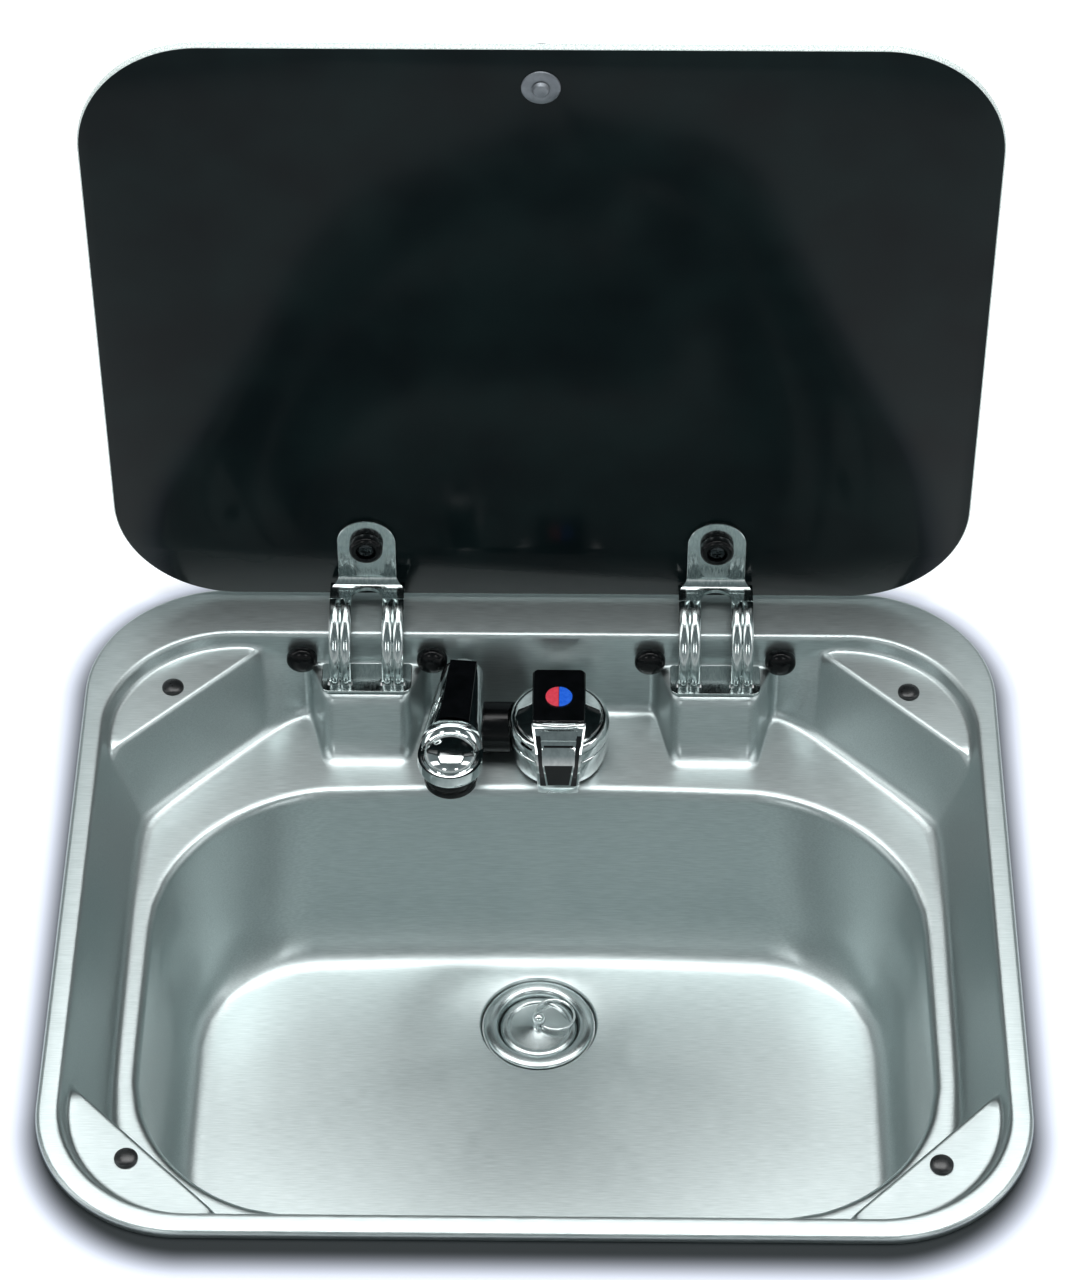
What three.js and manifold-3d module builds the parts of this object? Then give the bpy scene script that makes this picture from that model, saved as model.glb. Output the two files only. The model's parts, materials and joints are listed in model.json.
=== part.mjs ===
// Drop-in kitchen sink for a caravan or motorhome, with a hinged glass lid, a low mixer tap
// and a waste with plug. Millimetres, +Z up, +Y to the hinged rear edge. The origin is the
// centre of the rim outline, on the worktop plane that the rim gasket rests on.
import * as THREE from 'three';
import { mergeVertices } from 'three/addons/utils/BufferGeometryUtils.js';
import Module from 'manifold-3d';

const wasm = await Module();
wasm.setup();

// ---- driving dimensions -------------------------------------------------------------

// rim
const SINK_WIDTH = 420;
const SINK_DEPTH = 370;
const RIM_HEIGHT = 4;              // rim top above the worktop
const RIM_CORNER = 65;
const FLANGE_SIDE = 10;
const FLANGE_FRONT = 10.5;
const FLANGE_REAR = 30;
const SHEET = 0.9;                 // steel thickness
const LIP_GAP = 0.3;               // lip edge above the worktop
const SEAT_GAP = 0.3;              // running or seating clearance between pieces

// levels of the pan, below the rim top
const LEDGE_DROP = 8;
const BOSS_DROP = 18;
const SHELF_DROP = 48;
const BOWL_DROP = 135;

// corner ledges: legs of each triangle along the sides of the opening
const LEDGE_REAR = { hingeGap: 17.3, alongY: 70.7, wallInset: 12 };   // hingeGap: from the outer wall cap
const LEDGE_FRONT = { alongX: 77.5, alongY: 77.5, wallInset: 8 };

// how far the upper wall leans in between rim and shelf
const WALL_LEAN = { side: 14, rear: 2, front: 13.5 };

// bowl edge at shelf level, in from the opening, and the foot of the bowl wall, in from that edge
const BOWL_EDGE = { side: 25.5, rear: 54, front: 34.5, rearCorner: 80, frontCorner: 60 };
const BOWL_FOOT = { side: 8.5, rear: 23, front: 12, rearCorner: 62, frontCorner: 58 };
const BOWL_CROWN = 7;              // bow of the rear bowl edge
const FLOOR_FILLET = 14;

// hinges
const HINGE_X = 81.5;
const PIVOT_BACK = 13;             // pivot behind the opening's rear edge
const PIVOT_DROP = 16.5;           // pivot below the rim top
const LID_SWING = 91.5;            // degrees from leaning open to closed
const ARM_RADIUS = 27.6;           // swan neck, about the pivot
const LEG_SPREAD = 34.6;
const LEG_WIDTH = 10;
const LEG_THICKNESS = 1.6;
const LEG_RIDGE = 0.9;
const TAB_WIDTH = 27;
const TAB_THICKNESS = 2;
const TAB_HOLE_RISE = 33.5;        // hole centre above the lower edge of the glass
const PIN_RADIUS = 3;
// boss under each hinge and the plate on it: front, foot and rear are forward of the same edge
const BOSS = { topHalf: 18, footHalf: 31, front: 23.1, foot: 33 };
const PLATE = { width: 42, front: 21.1, rear: 3, thickness: 1.5, corner: 4 };

// wall caps over the bracket screws
const CAP_OFFSET = 30.5;
const CAP_DROP = 12.7;
const CAP_RADIUS = 7.2;
const CAP_HEIGHT = 6;
const WALL_SCREW = { radius: 1.65, gap: 0.25 };

// glass lid, described lying closed
const GLASS_THICKNESS = 4;
const GLASS_CORNER = 55;
const GLASS_SIDE_GAP = 2.2;
const GLASS_DROP = 5;              // lower face below the rim top when closed
const GLASS_REAR_GAP = 5.5;
const GLASS_FRONT_GAP = 7;
const KNOB_INSET = 20;

// bumpers, in from the opening
const BUMPER = { radius: 5, side: 29.5, rear: 27.5, front: 32.5 };

// mixer tap; forward is from the opening's rear edge
const TAP = { x: 8.6, forward: 30.6, radius: 23.6, top: 21.9, groove: 30, bore: 17.5 };
const LEVER = { width: 24.7, tipWidth: 18.5, top: 10.2, pinDrop: 18.5 };
const SHANK = { radius: 16, inner: 12.5, foot: 75 };
const LINK = { radius: 12, axisDrop: 35, forward: 26 };
const SPOUT = { x: -36.5, forward: 15, rearRadius: 10.3, frontX: -41, frontForward: 63, frontRadius: 15 };
const SPOUT_HEIGHT = { top: 6.6, foot: 22 };
const SPIGOT_RADIUS = 6;

// waste; forward is from the rear foot of the bowl wall
const DRAIN = { x: 0, forward: 46, recess: 29, recessDepth: 2.2, hole: 22 };
const FLANGE_RADIUS = 26;
const PLUG_RADIUS = 18.2;
const TAIL = { radius: 12.5, bore: 9.5, top: 32, foot: 50 };
const RING = { radius: 9.3, wire: 0.7, turn: 36, tilt: -5.8 };

// ---- derived places -----------------------------------------------------------------

const drop = (d) => RIM_HEIGHT - d;          // height of a level given below the rim top
const HALF_WIDTH = SINK_WIDTH / 2;
const HALF_DEPTH = SINK_DEPTH / 2;
const OPENING = {
  halfWidth: HALF_WIDTH - FLANGE_SIDE,
  rear: HALF_DEPTH - FLANGE_REAR,
  front: FLANGE_FRONT - HALF_DEPTH,
};
const OPENING_CORNER = RIM_CORNER - 8;
const REAR_LEDGE = {
  ...LEDGE_REAR,
  alongX: OPENING.halfWidth - HINGE_X - CAP_OFFSET - LEDGE_REAR.hingeGap,
};
const fromRear = (forward) => OPENING.rear - forward;
const PIVOT = { y: fromRear(-PIVOT_BACK), z: drop(PIVOT_DROP) };
const TAP_Y = fromRear(TAP.forward);
const LINK_Y = fromRear(LINK.forward);
const SPOUT_Y = fromRear(SPOUT.forward);
const OUTLET_Y = fromRear(SPOUT.frontForward);

// an outline as far in from an outer one as its sides say
const within = (outer, by) => ({
  ...by, halfWidth: outer.halfWidth - by.side, rear: outer.rear - by.rear, front: outer.front + by.front,
});
const bowlEdge = within(OPENING, BOWL_EDGE);
const bowlFoot = within(bowlEdge, BOWL_FOOT);
const DRAIN_Y = bowlFoot.rear - DRAIN.forward;
const deg = THREE.MathUtils.degToRad;

// ---- materials ----------------------------------------------------------------------

const finish = (color, metalness, roughness, more = {}) =>
  new THREE.MeshStandardMaterial({ color, metalness, roughness, ...more });
const steel = finish(0xaebab8, 1, 0.32);
const chrome = finish(0xd7dcdc, 1, 0.08);
const hingeSteel = finish(0x93a3a2, 1, 0.28);
const glass = finish(0x101718, 0, 0.04);
const blackPlastic = finish(0x101214, 0, 0.35);
const rubber = finish(0x1b1d1d, 0, 0.8);
const brass = finish(0xb9a468, 1, 0.35);
const zinc = finish(0x9aa0a2, 1, 0.45);
const greyPlastic = finish(0x6f7477, 0, 0.5);
const hotRed = finish(0xd9505f, 0, 0.4);
const coldBlue = finish(0x2f66d8, 0, 0.4);

// ---- solids -------------------------------------------------------------------------

function toManifold(geometry) {
  const bare = geometry.clone();
  bare.deleteAttribute('normal');
  bare.deleteAttribute('uv');
  const merged = mergeVertices(bare.index ? bare.toNonIndexed() : bare, 1e-4);
  const corners = merged.index.array;
  const kept = [];
  for (let i = 0; i < corners.length; i += 3) {
    const [a, b, c] = corners.subarray(i, i + 3);
    if (a !== b && b !== c && c !== a) kept.push(a, b, c);
  }
  return new wasm.Manifold(new wasm.Mesh({
    numProp: 3,
    vertProperties: new Float32Array(merged.attributes.position.array),
    triVerts: new Uint32Array(kept),
  }));
}

function toGeometry(solid) {
  const out = solid.getMesh();
  const geometry = new THREE.BufferGeometry();
  geometry.setAttribute('position', new THREE.BufferAttribute(out.vertProperties, 3));
  geometry.setIndex(new THREE.BufferAttribute(out.triVerts, 1));
  geometry.computeVertexNormals();
  return geometry;
}

const join = (...list) => toGeometry(list.map(toManifold).reduce((a, b) => a.add(b)));
const cut = (base, ...tools) =>
  toGeometry(tools.map(toManifold).reduce((a, b) => a.subtract(b), toManifold(base)));
const common = (a, b) => toGeometry(toManifold(a).intersect(toManifold(b)));

// a box given by its lowest and highest corners
function block(x0, x1, y0, y1, z0, z1) {
  const box = new THREE.BoxGeometry(x1 - x0, y1 - y0, z1 - z0);
  return box.translate((x0 + x1) / 2, (y0 + y1) / 2, (z0 + z1) / 2);
}

// a body of revolution about Z from [radius, height] pairs
function turned(pairs, segments = 24) {
  const points = pairs.map(([r, z]) => new THREE.Vector2(r, z));
  if (pairs[0][0] > 0 || pairs[pairs.length - 1][0] > 0) points.push(points[0].clone());
  return new THREE.LatheGeometry(points, segments).rotateX(Math.PI / 2);
}

const rod = (radius, z0, z1, segments = 16) =>
  turned([[0, z0], [radius, z0], [radius, z1], [0, z1]], segments);
const tube = (inner, outer, z0, z1, segments = 20) =>
  turned([[inner, z0], [outer, z0], [outer, z1], [inner, z1]], segments);

// a cylinder along X between two ends
const axleX = (radius, x0, x1, segments = 16) => rod(radius, x0, x1, segments).rotateY(Math.PI / 2);

// an outline in the YZ plane pushed along X
function pushX(shape, x0, x1, curveSegments = 10) {
  const solid = new THREE.ExtrudeGeometry(shape, { depth: x1 - x0, bevelEnabled: false, curveSegments });
  return solid.applyMatrix4(new THREE.Matrix4().makeBasis(
    new THREE.Vector3(0, 1, 0), new THREE.Vector3(0, 0, 1), new THREE.Vector3(1, 0, 0),
  )).translate(x0, 0, 0);
}

// an outline in the XY plane pushed up
const pushZ = (shape, z0, z1, curveSegments = 8) =>
  new THREE.ExtrudeGeometry(shape, { depth: z1 - z0, bevelEnabled: false, curveSegments })
    .translate(0, 0, z0);

function polygon(points) {
  return new THREE.Shape(points.map(([a, b]) => new THREE.Vector2(a, b)));
}

// a rectangle with round corners; r is one radius, or [front, rear]
function roundRect(x0, x1, y0, y1, r) {
  const [front, rear] = Array.isArray(r) ? r : [r, r];
  const shape = new THREE.Shape();
  shape.absarc(x1 - front, y0 + front, front, -Math.PI / 2, 0);
  shape.absarc(x1 - rear, y1 - rear, rear, 0, Math.PI / 2);
  shape.absarc(x0 + rear, y1 - rear, rear, Math.PI / 2, Math.PI);
  shape.absarc(x0 + front, y0 + front, front, Math.PI, 1.5 * Math.PI);
  return shape;
}

// a bent strip about the origin of the YZ plane, between two angles in degrees
function arcBand(inner, outer, from, to) {
  const shape = new THREE.Shape();
  shape.absarc(0, 0, outer, deg(from), deg(to), false);
  shape.absarc(0, 0, inner, deg(to), deg(from), true);
  return shape;
}

// ---- the object tree ----------------------------------------------------------------

const group = new THREE.Group();

function add(name, geometry, material, parent = group) {
  const mesh = new THREE.Mesh(toGeometry(toManifold(geometry)), material);
  mesh.name = name;
  parent.add(mesh);
  return mesh;
}

function place(parent, x, y, z) {
  const holder = new THREE.Group();
  holder.position.set(x, y, z);
  parent.add(holder);
  return holder;
}

// ---- sink pan -----------------------------------------------------------------------
// One pressed sheet. Stations run round the pan; at each, a profile of straight runs and
// rounded bends goes from the rim lip down to the flat floor.

const LIP_DROP = RIM_HEIGHT - LIP_GAP;
const FAN_X = HINGE_X + BOSS.footHalf + 9.5;      // corner fans start just outside the hinge bosses
const REAR_FAN = { x: FAN_X, y: bowlFoot.rear - 33 };
const FRONT_FAN = { x: FAN_X, y: bowlFoot.front + 43 };

// signed distance to a rectangle with round corners, negative inside
function roundBox(x0, x1, y0, y1, frontCorner, rearCorner) {
  const cx = (x0 + x1) / 2;
  const cy = (y0 + y1) / 2;
  return (x, y) => {
    const r = y > cy ? rearCorner : frontCorner;
    const qx = Math.abs(x - cx) - (x1 - x0) / 2 + r;
    const qy = Math.abs(y - cy) - (y1 - y0) / 2 + r;
    return Math.min(Math.max(qx, qy), 0) + Math.hypot(Math.max(qx, 0), Math.max(qy, 0)) - r;
  };
}

const mirrored = (halfWidth, front, rear, frontCorner, rearCorner) =>
  roundBox(-halfWidth, halfWidth, front, rear, frontCorner, rearCorner);

const softMax = (a, b, k) => (a + b + Math.hypot(a - b, k)) / 2;

// the sloping line that cuts off a corner of the opening, moved in by an inset
function diagonal(ledge, side, inset = 0) {
  const edgeY = side > 0 ? OPENING.rear : -OPENING.front;
  const length = Math.hypot(ledge.alongX, ledge.alongY);
  return (x, y) => (
    (Math.abs(x) - OPENING.halfWidth + ledge.alongX) * ledge.alongY
    + (side * y - edgeY) * ledge.alongX
  ) / length + inset;
}

// the upper wall's outline at a level below the rim top
function wallAt(d) {
  const lean = d / SHELF_DROP;
  return mirrored(
    OPENING.halfWidth - WALL_LEAN.side * lean,
    OPENING.front + WALL_LEAN.front * lean,
    OPENING.rear - WALL_LEAN.rear * lean,
    OPENING_CORNER, OPENING_CORNER,
  );
}

function footOutline() {
  const wall = wallAt(SHELF_DROP);
  const rear = diagonal(REAR_LEDGE, 1, REAR_LEDGE.wallInset);
  const front = diagonal(LEDGE_FRONT, -1, LEDGE_FRONT.wallInset);
  const blend = 8;
  return (x, y) => softMax(softMax(wall(x, y), rear(x, y), blend), front(x, y), blend);
}

function bowlOutline(bowl) {
  const box = mirrored(bowl.halfWidth, bowl.front, bowl.rear, bowl.frontCorner, bowl.rearCorner);
  return (x, y) => {
    const bow = BOWL_CROWN * (x / bowl.halfWidth) ** 2 * Math.max(0, y / bowl.rear);
    return box(x, y + bow);
  };
}

const outline = {
  rim: mirrored(HALF_WIDTH, -HALF_DEPTH, HALF_DEPTH, RIM_CORNER, RIM_CORNER),
  opening: wallAt(0),
  ledgeWall: wallAt(LEDGE_DROP),
  rearDiagonal: diagonal(REAR_LEDGE, 1),
  frontDiagonal: diagonal(LEDGE_FRONT, -1),
  foot: footOutline(),
  bowlEdge: bowlOutline(bowlEdge),
  bowlFoot: bowlOutline(bowlFoot),
};

// distance along a station's line to an outline
function reach(station, shape) {
  let near = 0;
  let far = 400;
  for (let i = 0; i < 48; i += 1) {
    const mid = (near + far) / 2;
    if (shape(station.x + station.dx * mid, station.y + station.dy * mid) < 0) near = mid;
    else far = mid;
  }
  return near;
}

const mix = (a, b, t) => a + (b - a) * t;

// 0 beside a hinge boss, 1 across its front
function bossShare(x) {
  const off = Math.abs(Math.abs(x) - HINGE_X);
  return 1 - THREE.MathUtils.smoothstep(off, BOSS.topHalf, BOSS.footHalf);
}

// bends of one station's profile: distance, drop, bend length, points in the bend
function bends(station) {
  const lipOut = reach(station, outline.rim);
  const edge = reach(station, outline.opening);
  const wall = reach(station, outline.ledgeWall);
  const cutOff = Math.min(reach(station, outline.rearDiagonal), reach(station, outline.frontDiagonal));
  const ledge = Math.min(wall, cutOff);
  const shelfShare = Math.min(1, (wall - ledge) / 6);
  const lean = (edge - wall) / LEDGE_DROP;
  const plainDrop = LEDGE_DROP + 5;
  const ledgeDrop = mix(plainDrop, LEDGE_DROP, shelfShare);
  const ledgeEdge = ledge - (1 - shelfShare) * lean * (plainDrop - LEDGE_DROP);
  const plainFoot = reach(station, outline.foot);
  const onWall = (d) => mix(ledgeEdge, plainFoot, (d - ledgeDrop) / (SHELF_DROP - ledgeDrop));
  const share = station.dy === 1 ? bossShare(station.x) : 0;
  const bossDrop = mix(BOSS_DROP + 4, BOSS_DROP, share);
  const bowl = reach(station, outline.bowlEdge);
  const floorFoot = reach(station, outline.bowlFoot);
  const floorRun = Math.min(FLOOR_FILLET + 1.6, 0.8 * floorFoot);
  return [
    [lipOut, LIP_DROP, 0, 1],
    [lipOut, 0, 2.5, 2],
    [edge, 0, 2.5, 3],
    [wall, LEDGE_DROP, 2.5, 2],
    [ledgeEdge, ledgeDrop, 2, 2],
    [onWall(BOSS_DROP), BOSS_DROP, 2, 2],
    [mix(onWall(bossDrop), fromRear(BOSS.front) - station.y, share), bossDrop, 2.6, 2],
    [mix(plainFoot, fromRear(BOSS.foot) - station.y, share), SHELF_DROP, 5, 3],
    [bowl, SHELF_DROP, 4, 3],
    [floorFoot, BOWL_DROP, FLOOR_FILLET, 4],
    [floorFoot - floorRun, BOWL_DROP, 0, 1],
  ];
}

// the profile as points [distance, drop], each bend a parabola between its tangent points
function profile(station) {
  const list = bends(station);
  // a bend may use nearly all of a run that ends at the lip or on the floor
  const share = (neighbour) => (neighbour[3] === 1 ? 0.9 : 0.45);
  return list.flatMap(([d, z, length, count], i) => {
    if (count === 1) return [[d, z]];
    const [before, after] = [list[i - 1], list[i + 1]];
    const spanIn = Math.hypot(before[0] - d, before[1] - z);
    const spanOut = Math.hypot(after[0] - d, after[1] - z);
    const run = Math.min(length, share(before) * spanIn, share(after) * spanOut);
    return Array.from({ length: count }, (_, k) => {
      const t = k / (count - 1);
      const a = run * (1 - t) ** 2 / spanIn;
      const b = run * t ** 2 / spanOut;
      return [
        d + (before[0] - d) * a + (after[0] - d) * b,
        z + (before[1] - z) * a + (after[1] - z) * b,
      ];
    });
  });
}

// stations of a corner fan, counter-clockwise, closest at the ends of its ledge
function fan(centre, ledge, side) {
  const edgeY = side > 0 ? OPENING.rear : OPENING.front;
  const towards = (x, y) => Math.atan2(y - centre.y, x - centre.x);
  const first = towards(OPENING.halfWidth - 1, edgeY - side * ledge.alongY);
  const last = side * Math.min(
    Math.abs(towards(OPENING.halfWidth - ledge.alongX, edgeY)), deg(87),
  );
  const steps = 8;
  const angles = [0, first / 2];
  for (let i = 0; i <= steps; i += 1) angles.push(mix(first, last, i / steps));
  angles.push(side * Math.PI / 2);
  return angles.map((a) => ({
    x: centre.x,
    y: centre.y,
    dx: Math.abs(Math.abs(a) - Math.PI / 2) < 1e-9 ? 0 : Math.cos(a),
    dy: Math.abs(Math.abs(a) - Math.PI / 2) < 1e-9 ? side : Math.sin(a),
  }));
}

const flip = (s) => ({ x: -s.x, y: s.y, dx: -s.dx, dy: s.dy });

function stations() {
  const rearFan = fan(REAR_FAN, REAR_LEDGE, 1);
  const frontFan = fan(FRONT_FAN, LEDGE_FRONT, -1);
  const bossOffsets = [0, 3, 6, 9.5, 13].map((step) => mix(BOSS.footHalf, BOSS.topHalf, step / 13));
  const bossX = [...bossOffsets.map((o) => HINGE_X + o), ...bossOffsets.reverse().map((o) => HINGE_X - o)];
  const rearX = [...bossX, 30, 10];
  const rear = [...rearX, ...rearX.map((x) => -x).reverse()]
    .map((x) => ({ x, y: REAR_FAN.y, dx: 0, dy: 1 }));
  const sideY = [mix(FRONT_FAN.y, REAR_FAN.y, 1 / 3), mix(FRONT_FAN.y, REAR_FAN.y, 2 / 3)];
  const right = sideY.map((y) => ({ x: REAR_FAN.x, y, dx: 1, dy: 0 }));
  const front = [-70, -20, 20, 70].map((x) => ({ x, y: FRONT_FAN.y, dx: 0, dy: -1 }));
  return [
    ...rearFan, ...rear, ...rearFan.map(flip).reverse(),
    ...right.map(flip).reverse(), ...frontFan.map(flip),
    ...front, ...frontFan.reverse(), ...right,
  ];
}

function panSolid() {
  const around = stations();
  const top = around.map((s) =>
    profile(s).map(([d, z]) => new THREE.Vector3(s.x + s.dx * d, s.y + s.dy * d, drop(z))));
  const count = around.length;
  const rows = top[0].length;
  const normalAt = (i, j) => {
    const along = top[(i + 1) % count][j].clone().sub(top[(i + count - 1) % count][j]);
    const inward = top[i][Math.min(j + 1, rows - 1)].clone().sub(top[i][Math.max(j - 1, 0)]);
    return along.cross(inward).normalize();
  };
  const under = top.map((column, i) => column.map((p, j) => {
    if (j === rows - 1) return p.clone().setZ(p.z - SHEET);
    const q = p.clone().addScaledVector(normalAt(i, j), -SHEET);
    return j === 0 ? q.setZ(p.z) : q;
  }));
  const circle = (radius, z) => Array.from({ length: 32 }, (_, k) => {
    const a = k / 32 * 2 * Math.PI;
    return new THREE.Vector3(DRAIN.x + radius * Math.cos(a), DRAIN_Y + radius * Math.sin(a), z);
  });
  const triangles = [];
  const strip = (outer, inner) => outer.forEach((p, i) => {
    const n = (i + 1) % outer.length;
    triangles.push(p, outer[n], inner[i], outer[n], inner[n], inner[i]);
  });
  const ring = (columns, j) => columns.map((column) => column[j]);
  // flat floor round the waste recess, facing up or down
  const floor = (edge, hole, up) => {
    const flat = (list) => list.map((p) => new THREE.Vector2(p.x, p.y));
    const all = [...edge, ...hole];
    THREE.ShapeUtils.triangulateShape(flat(edge), [flat(hole)]).forEach(([a, b, c]) => {
      const [p, q, r] = [all[a], all[b], all[c]];
      const turn = (q.x - p.x) * (r.y - p.y) - (q.y - p.y) * (r.x - p.x);
      if ((turn > 0) === up) triangles.push(p, q, r);
      else triangles.push(p, r, q);
    });
  };
  const floorZ = drop(BOWL_DROP);
  const recess = DRAIN.recess - DRAIN.recessDepth;
  const topRings = [
    circle(DRAIN.recess, floorZ),
    circle(recess, floorZ - DRAIN.recessDepth),
    circle(DRAIN.hole, floorZ - DRAIN.recessDepth),
  ];
  const underRings = [
    circle(DRAIN.hole, floorZ - DRAIN.recessDepth - SHEET),
    circle(recess + SHEET / 2, floorZ - DRAIN.recessDepth - SHEET),
    circle(DRAIN.recess + SHEET / 2, floorZ - SHEET),
  ];
  for (let j = 0; j < rows - 1; j += 1) {
    strip(ring(top, j), ring(top, j + 1));
    strip(ring(under, j + 1), ring(under, j));
  }
  strip(ring(under, 0), ring(top, 0));
  floor(ring(top, rows - 1), topRings[0], true);
  floor(ring(under, rows - 1), underRings[2], false);
  strip(topRings[0], topRings[1]);
  strip(topRings[1], topRings[2]);
  strip(topRings[2], underRings[0]);
  strip(underRings[0], underRings[1]);
  strip(underRings[1], underRings[2]);
  const geometry = new THREE.BufferGeometry();
  const positions = new Float32Array(triangles.flatMap((p) => [p.x, p.y, p.z]));
  geometry.setAttribute('position', new THREE.BufferAttribute(positions, 3));
  return geometry;
}

const hingeSides = [['left', -1], ['right', 1]];
const legCentres = [-1, 1].map((s) => s * (LEG_SPREAD - LEG_WIDTH) / 2);
const slotClear = 0.7;
const legInner = ARM_RADIUS - LEG_THICKNESS / 2;
const legOuter = ARM_RADIUS + LEG_THICKNESS / 2 + LEG_RIDGE;

// where the swan neck crosses the top of the boss
const crossing = (radius, d) => PIVOT.y - Math.sqrt(radius ** 2 - (d - PIVOT_DROP) ** 2);
const slotFront = crossing(legOuter, BOSS_DROP - PLATE.thickness) - slotClear;
const slotRear = crossing(legInner, BOSS_DROP + SHEET) + slotClear;

function legSlots(z0, z1) {
  const half = LEG_WIDTH / 2 + slotClear;
  return legCentres.map((x) => block(x - half, x + half, slotFront, slotRear, z0, z1));
}

function panCuts() {
  const tools = [];
  hingeSides.forEach(([, s]) => {
    legSlots(drop(BOSS_DROP + 4), drop(BOSS_DROP - 4))
      .forEach((g) => tools.push(g.translate(s * HINGE_X, 0, 0)));
    [-1, 1].forEach((o) => {
      const hole = rod(WALL_SCREW.radius + WALL_SCREW.gap, -8, 8, 12).rotateX(Math.PI / 2);
      tools.push(hole.translate(s * HINGE_X + o * CAP_OFFSET, OPENING.rear, drop(CAP_DROP)));
    });
  });
  tools.push(rod(SHANK.radius + 0.5, drop(SHELF_DROP + 5), drop(SHELF_DROP - 5), 28)
    .translate(TAP.x, TAP_Y, 0));
  return tools;
}

add('sink_pan', cut(panSolid(), ...panCuts()), steel);

// ---- rim gasket ---------------------------------------------------------------------

function rimGasket() {
  const outer = 3.7;
  const width = 4;
  const top = RIM_HEIGHT - SHEET - SEAT_GAP;
  const frame = (inset) => roundRect(
    inset - HALF_WIDTH, HALF_WIDTH - inset, inset - HALF_DEPTH, HALF_DEPTH - inset,
    RIM_CORNER - inset,
  );
  const shape = frame(outer);
  shape.holes.push(frame(outer + width));
  return pushZ(shape, 0, top, 6);
}

add('rim_gasket', rimGasket(), rubber);

// ---- lid bumpers on the corner ledges -----------------------------------------------

function bumper() {
  const height = LEDGE_DROP - GLASS_DROP - SEAT_GAP - 0.2;
  const r = BUMPER.radius;
  return turned([
    [0, 0], [r, 0], [r, height * 0.45], [r * 0.8, height * 0.85], [r * 0.4, height], [0, height],
  ], 20);
}

[['rear', OPENING.rear - BUMPER.rear], ['front', OPENING.front + BUMPER.front]].forEach(([row, y]) => {
  const x = OPENING.halfWidth - BUMPER.side;
  hingeSides.forEach(([side, s]) => {
    add(`bumper_${row}_${side}`, bumper(), rubber).position.set(s * x, y, drop(LEDGE_DROP) + 0.2);
  });
});

// ---- glass lid, drawn closed about the hinge pivot and swung open -------------------

const lid = place(group, 0, PIVOT.y, PIVOT.z);
lid.rotation.x = -deg(LID_SWING);

const GLASS_REAR = OPENING.rear - GLASS_REAR_GAP - PIVOT.y;
const GLASS_FRONT = OPENING.front + GLASS_FRONT_GAP - PIVOT.y;
const GLASS_LOW = PIVOT_DROP - GLASS_DROP;
const GLASS_HIGH = GLASS_LOW + GLASS_THICKNESS;
const GLASS_HALF = OPENING.halfWidth - GLASS_SIDE_GAP;
const KNOB_Y = GLASS_FRONT + KNOB_INSET;
const TAB_Y = GLASS_REAR - TAB_HOLE_RISE;
const BORE = 3.2;

function glassPlate() {
  const shape = roundRect(-GLASS_HALF, GLASS_HALF, GLASS_FRONT, GLASS_REAR, GLASS_CORNER);
  const bore = (x, y) => {
    const path = new THREE.Path();
    path.absarc(x, y, BORE, 0, 2 * Math.PI, true);
    shape.holes.push(path);
  };
  bore(0, KNOB_Y);
  bore(-HINGE_X, TAB_Y);
  bore(HINGE_X, TAB_Y);
  return pushZ(shape, GLASS_LOW, GLASS_HIGH, 8);
}

add('glass_lid', glassPlate(), glass, lid);

const knob = place(lid, 0, KNOB_Y, 0);
const knobFoot = GLASS_HIGH + SEAT_GAP;
add('lid_knob', turned([
  [2, knobFoot], [11, knobFoot], [11.5, knobFoot + 1], [9, knobFoot + 4], [9.5, knobFoot + 8],
  [11.4, knobFoot + 10.5], [10.6, knobFoot + 12.2], [6, knobFoot + 13], [0, knobFoot + 13.2],
  [0, knobFoot + 9], [2, knobFoot + 9],
], 20), chrome, knob);
add('knob_plate', tube(2.6, 8.5, GLASS_LOW - SEAT_GAP - 1.2, GLASS_LOW - SEAT_GAP, 20), zinc, knob);
const screwTop = GLASS_LOW - 2 * SEAT_GAP - 1.2;
add('knob_screw', turned([
  [0, screwTop - 2.2], [3, screwTop - 1.8], [4, screwTop], [1.7, screwTop],
  [1.7, knobFoot + 8.6], [0, knobFoot + 8.6],
], 16), zinc, knob);

// ---- hinges -------------------------------------------------------------------------

const TAB_TOP = GLASS_LOW - SEAT_GAP;
const tabMiddle = TAB_TOP - TAB_THICKNESS / 2;
const neckOuter = ARM_RADIUS + LEG_THICKNESS / 2;
const neckStart = 180 - THREE.MathUtils.radToDeg(Math.asin(tabMiddle / ARM_RADIUS));
const LEG_END = 214 + LID_SWING;         // lower end of the neck when closed
const WEB_AT = LEG_END - 4;
const WEB_WIDTH = 6;
const HUB_RADIUS = 6;
const archRadius = (LEG_SPREAD - 2 * LEG_WIDTH) / 2 + 0.05;
const archCentre = neckStart + 10 + THREE.MathUtils.radToDeg(archRadius / ARM_RADIUS);

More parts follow.
